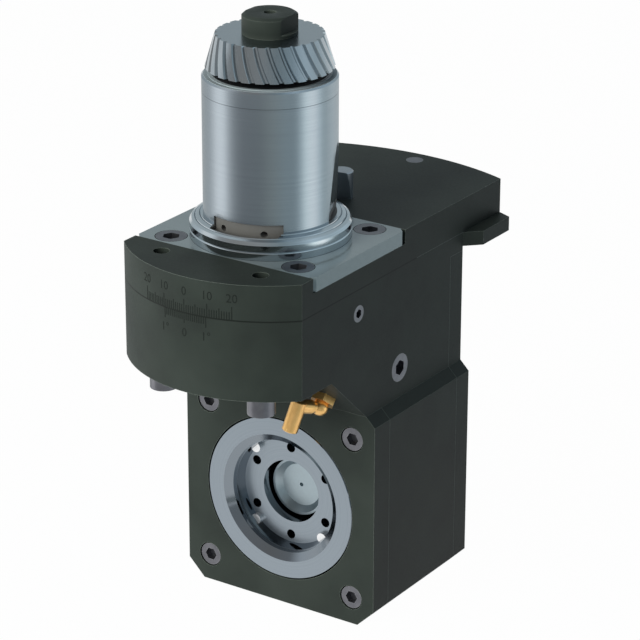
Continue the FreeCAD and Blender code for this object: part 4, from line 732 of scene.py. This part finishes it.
def alongLine(piece, start, way):  # a piece spun round Z, laid along a line in mm
    lie = Vector(way).to_track_quat("Z", "Y").to_matrix().to_4x4()
    piece.data.transform(Matrix.Translation(Vector(start) * mm) @ lie)


def roundProfile(radius, steps, start, end):  # points of an arc about the origin, by angle from the axis
    turns = [math.radians(start + (end - start) * step / steps) for step in range(steps + 1)]
    return [(radius * math.sin(turn), radius * math.cos(turn)) for turn in turns]


def nozzlePiece():
    size = nozzleSize
    ball, elbow, way = Vector(size["ball"]), Vector(size["elbow"]), Vector(size["pipeWay"]).normalized()
    neck = size["armRadius"] * size["neckShare"]
    neckAngle = math.degrees(math.asin(neck / size["ballRadius"]))
    profile = [(0, -size["ballRadius"])]
    profile += roundProfile(size["ballRadius"], size["ballSteps"], size["ballStart"], neckAngle)
    profile += [(neck, size["neckEnd"]), (size["armRadius"], size["shoulder"]),
                (size["armRadius"], size["armEnd"]), (0, size["armEnd"])]
    arm = spunInMillimetres(profile, "coolantNozzle")
    alongLine(arm, ball, elbow - ball)
    radius, lip, length = size["pipeRadius"], size["lip"], size["above"] + size["below"]
    outline = [(0, 0), (radius - lip, 0), (radius, lip), (radius, length - lip), (radius - lip, length),
               (size["bore"], length), (size["bore"], length - size["boreDepth"]), (0, length - size["boreDepth"])]
    pipe = spunInMillimetres(outline, "pipe")
    alongLine(pipe, elbow - way * size["above"], way)
    combine(arm, pipe, "UNION")
    bpy.ops.object.shade_smooth_by_angle(angle=math.radians(size["smooth"]))
    dress(arm, "brass")
    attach(arm, "coolant_nozzle")
    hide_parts("nozzle")


nozzlePiece()
print("nozzle fitted")


# Studio: white floor, one soft box, a ring of cards for the steel, a camera where the photographer stood.
# Compass directions are degrees from -Y towards +X

floorLook = {"radius": 30, "base": "#A7B3BB", "white": 0.985}  # white: how much of the floor is pure white
lampLook = {"azimuth": -10, "elevation": 24, "distance": 1.6, "aim": (0, 0.02, -0.04),
            "width": 1.0, "height": 1.2, "power": 40, "colour": "#FCFFF6"}
cardLook = {"inner": 0.24, "outer": 0.96, "raised": 2 * mm, "glow": 1.5, "sides": 96, "stops": [
    (-180, "#B4B9BB"), (-112, "#A6AAAB"), (-85, "#B3B7B9"), (-62, "#FFFFFF"), (-48, "#FFFFFF"),
    (-37, "#B7BABC"), (-27, "#919496"), (-14, "#7A7D80"), (18, "#777C7E"), (36, "#888E8D"),
    (62, "#8C989C"), (78, "#859196"), (86, "#B1BEC3"), (95, "#F4FFFF"), (112, "#FFFFFF"),
    (124, "#C9D7DC"), (134, "#A5B0B2"), (160, "#C4CBCD"), (180, "#B4B9BB")]}
roomLook = {"soft": 0.68, "sides": [(0.0, "#838A87"), (0.35, "#B9C2C1"), (0.75, "#4A5A66"), (1.0, "#32434F")],
            "horizon": [(-180, "#B9C6CC"), (-146, "#B0BABF"), (-110, "#C2CACD"), (-86, "#D3DCE2"),
                        (-76, "#FFFFFF"), (-62, "#F8FCFF"), (-50, "#A5A6A8"), (-20, "#A3A09E"),
                        (20, "#A7A8A9"), (55, "#93A0A6"), (80, "#A9BAC4"), (104, "#D9EAF5"),
                        (130, "#C3D3DB"), (160, "#CBDCE6"), (180, "#B9C6CC")]}
cameraLook = {"place": (0.646388, -0.927273, 0.418875), "right": (0.82994562, 0.5578409, 0.00194667),
              "up": (-0.21072935, 0.31028445, 0.92699337), "back": (0.51651079, -0.76976431, 0.37507267),
              "sensor": 36, "lens": 166.55, "near": 0.05, "far": 60}


def softBox(look):  # lights the faces, while polished steel sees the room and the cards instead
    lamp = bpy.data.lights.new("keyBox", "AREA")
    lamp.shape, lamp.size, lamp.size_y, lamp.energy = "RECTANGLE", look["width"], look["height"], look["power"]
    lamp.color = linearColour(look["colour"])[:3]
    holder = bpy.data.objects.new("keyBox", lamp)
    bpy.context.scene.collection.objects.link(holder)
    turn, rise = math.radians(look["azimuth"]), math.radians(look["elevation"])
    away = Vector((math.sin(turn) * math.cos(rise), -math.cos(turn) * math.cos(rise), math.sin(rise)))
    holder.location = Vector(look["aim"]) + away * look["distance"]
    holder.rotation_euler = away.to_track_quat("Z", "Y").to_euler()
    holder.visible_glossy = False


def seenDirectly(tree):  # 1 for the camera, and for what metal reflects of the backdrop
    ray = addNode(tree, "ShaderNodeLightPath")
    either = addNode(tree, "ShaderNodeMath", {"operation": "MAXIMUM"},
                     {0: ray.outputs["Is Camera Ray"], 1: ray.outputs["Is Glossy Ray"]})
    return addNode(tree, "ShaderNodeMath", {"operation": "MAXIMUM"},
                   {0: either.outputs[0], 1: ray.outputs["Is Transmission Ray"]}).outputs[0]


def paleFloor():  # white sweep that still takes a soft shadow
    material, tree, shader = newMaterial("paleFloor", {"Roughness": 0.9, "Specular IOR Level": 0.1,
                                                       "Base Color": linearColour(floorLook["base"])})
    glow = addNode(tree, "ShaderNodeEmission", {"Color": linearColour("#FFFFFF"), "Strength": 1.0})
    share = addNode(tree, "ShaderNodeMath", {"operation": "MULTIPLY", 1: floorLook["white"]},
                    {0: seenDirectly(tree)})
    both = addNode(tree, "ShaderNodeMixShader", links={0: share.outputs[0], 1: shader.outputs["BSDF"],
                                                       2: glow.outputs["Emission"]})
    tree.links.new(both.outputs["Shader"], tree.nodes["Material Output"].inputs["Surface"])
    return material


def aroundRamp(tree, source, stops):  # colours by compass direction
    split = addNode(tree, "ShaderNodeSeparateXYZ", links={"Vector": source})
    front = addNode(tree, "ShaderNodeMath", {"operation": "MULTIPLY", 1: -1.0}, {0: split.outputs["Y"]})
    turn = addNode(tree, "ShaderNodeMath", {"operation": "ARCTAN2"}, {0: split.outputs["X"], 1: front.outputs[0]})
    share = addNode(tree, "ShaderNodeMapRange", {"From Min": -math.pi, "From Max": math.pi},
                    {"Value": turn.outputs[0]})
    shades = [((angle + 180) / 360, shade) for angle, shade in stops]
    ramp = addNode(tree, "ShaderNodeValToRGB", {"stops": shades}, {"Fac": share.outputs["Result"]})
    return ramp.outputs["Color"]


def cardColours():  # dark and light cards lying round the object, seen only in polished steel
    material = bpy.data.materials.new("cardColours")
    material.use_nodes = True
    tree = material.node_tree
    place = addNode(tree, "ShaderNodeTexCoord")
    glow = addNode(tree, "ShaderNodeEmission", {"Strength": cardLook["glow"]},
                   {"Color": aroundRamp(tree, place.outputs["Object"], cardLook["stops"])})
    tree.links.new(glow.outputs["Emission"], tree.nodes["Material Output"].inputs["Surface"])
    return material


def reflectionCards():  # a flat ring just above the floor
    pickNothing()
    bpy.ops.mesh.primitive_circle_add(vertices=cardLook["sides"], radius=cardLook["inner"], fill_type="NOTHING")
    cards = bpy.context.object
    cards.name = "reflectionCards"
    outward = cardLook["outer"] / cardLook["inner"]
    bpy.ops.object.mode_set(mode="EDIT")
    bpy.ops.mesh.select_all(action="SELECT")
    bpy.ops.mesh.extrude_edges_move()
    bpy.ops.transform.resize(value=(outward, outward, 1), center_override=(0, 0, 0))
    bpy.ops.object.mode_set(mode="OBJECT")
    cards.data.transform(Matrix.Translation((0, 0, cadBounds[0][2] + cardLook["raised"])))
    cards.data.materials.append(cardColours())
    cards.visible_camera = cards.visible_diffuse = cards.visible_shadow = False


def layFloor():
    pickNothing()
    bpy.ops.mesh.primitive_circle_add(vertices=64, radius=floorLook["radius"], fill_type="NGON")
    floor = bpy.context.object
    floor.name = "floor"
    floor.data.transform(Matrix.Translation((0, 0, cadBounds[0][2])))
    floor.data.materials.append(paleFloor())


def studioWorld():  # soft light from the sides, white behind the object, and a room for the steel to reflect
    world = bpy.data.worlds.new("studioWorld")
    bpy.context.scene.world = world
    world.use_nodes = True
    tree = world.node_tree
    direction = addNode(tree, "ShaderNodeTexCoord").outputs["Generated"]
    split = addNode(tree, "ShaderNodeSeparateXYZ", links={"Vector": direction})
    side = addNode(tree, "ShaderNodeMapRange", {"From Min": -1.0, "From Max": 1.0}, {"Value": split.outputs["X"]})
    room = addNode(tree, "ShaderNodeValToRGB", {"stops": roomLook["sides"]}, {"Fac": side.outputs["Result"]})
    softLight = addNode(tree, "ShaderNodeBackground", {"Strength": roomLook["soft"]},
                        {"Color": room.outputs["Color"]})
    ray = addNode(tree, "ShaderNodeLightPath")
    backdrop = addNode(tree, "ShaderNodeMix", {"data_type": "RGBA", 7: linearColour("#FFFFFF")},
                       {0: ray.outputs["Is Camera Ray"], 6: aroundRamp(tree, direction, roomLook["horizon"])})
    reflected = addNode(tree, "ShaderNodeBackground", {"Strength": 1.0}, {"Color": backdrop.outputs[2]})
    both = addNode(tree, "ShaderNodeMixShader", links={0: seenDirectly(tree), 1: softLight.outputs["Background"],
                                                       2: reflected.outputs["Background"]})
    tree.links.new(both.outputs["Shader"], tree.nodes["World Output"].inputs["Surface"])


def photoCamera(look):
    camera = bpy.data.cameras.new("photoCamera")
    camera.sensor_width, camera.lens = look["sensor"], look["lens"]
    camera.clip_start, camera.clip_end = look["near"], look["far"]
    holder = bpy.data.objects.new("photoCamera", camera)
    bpy.context.scene.collection.objects.link(holder)
    turned = Matrix((look["right"], look["up"], look["back"])).transposed().to_4x4()
    holder.matrix_world = Matrix.Translation(look["place"]) @ turned
    bpy.context.scene.camera = holder


layFloor()
reflectionCards()
studioWorld()
softBox(lampLook)
photoCamera(cameraLook)
bpy.context.scene.view_settings.view_transform = "Standard"
print("studio ready")
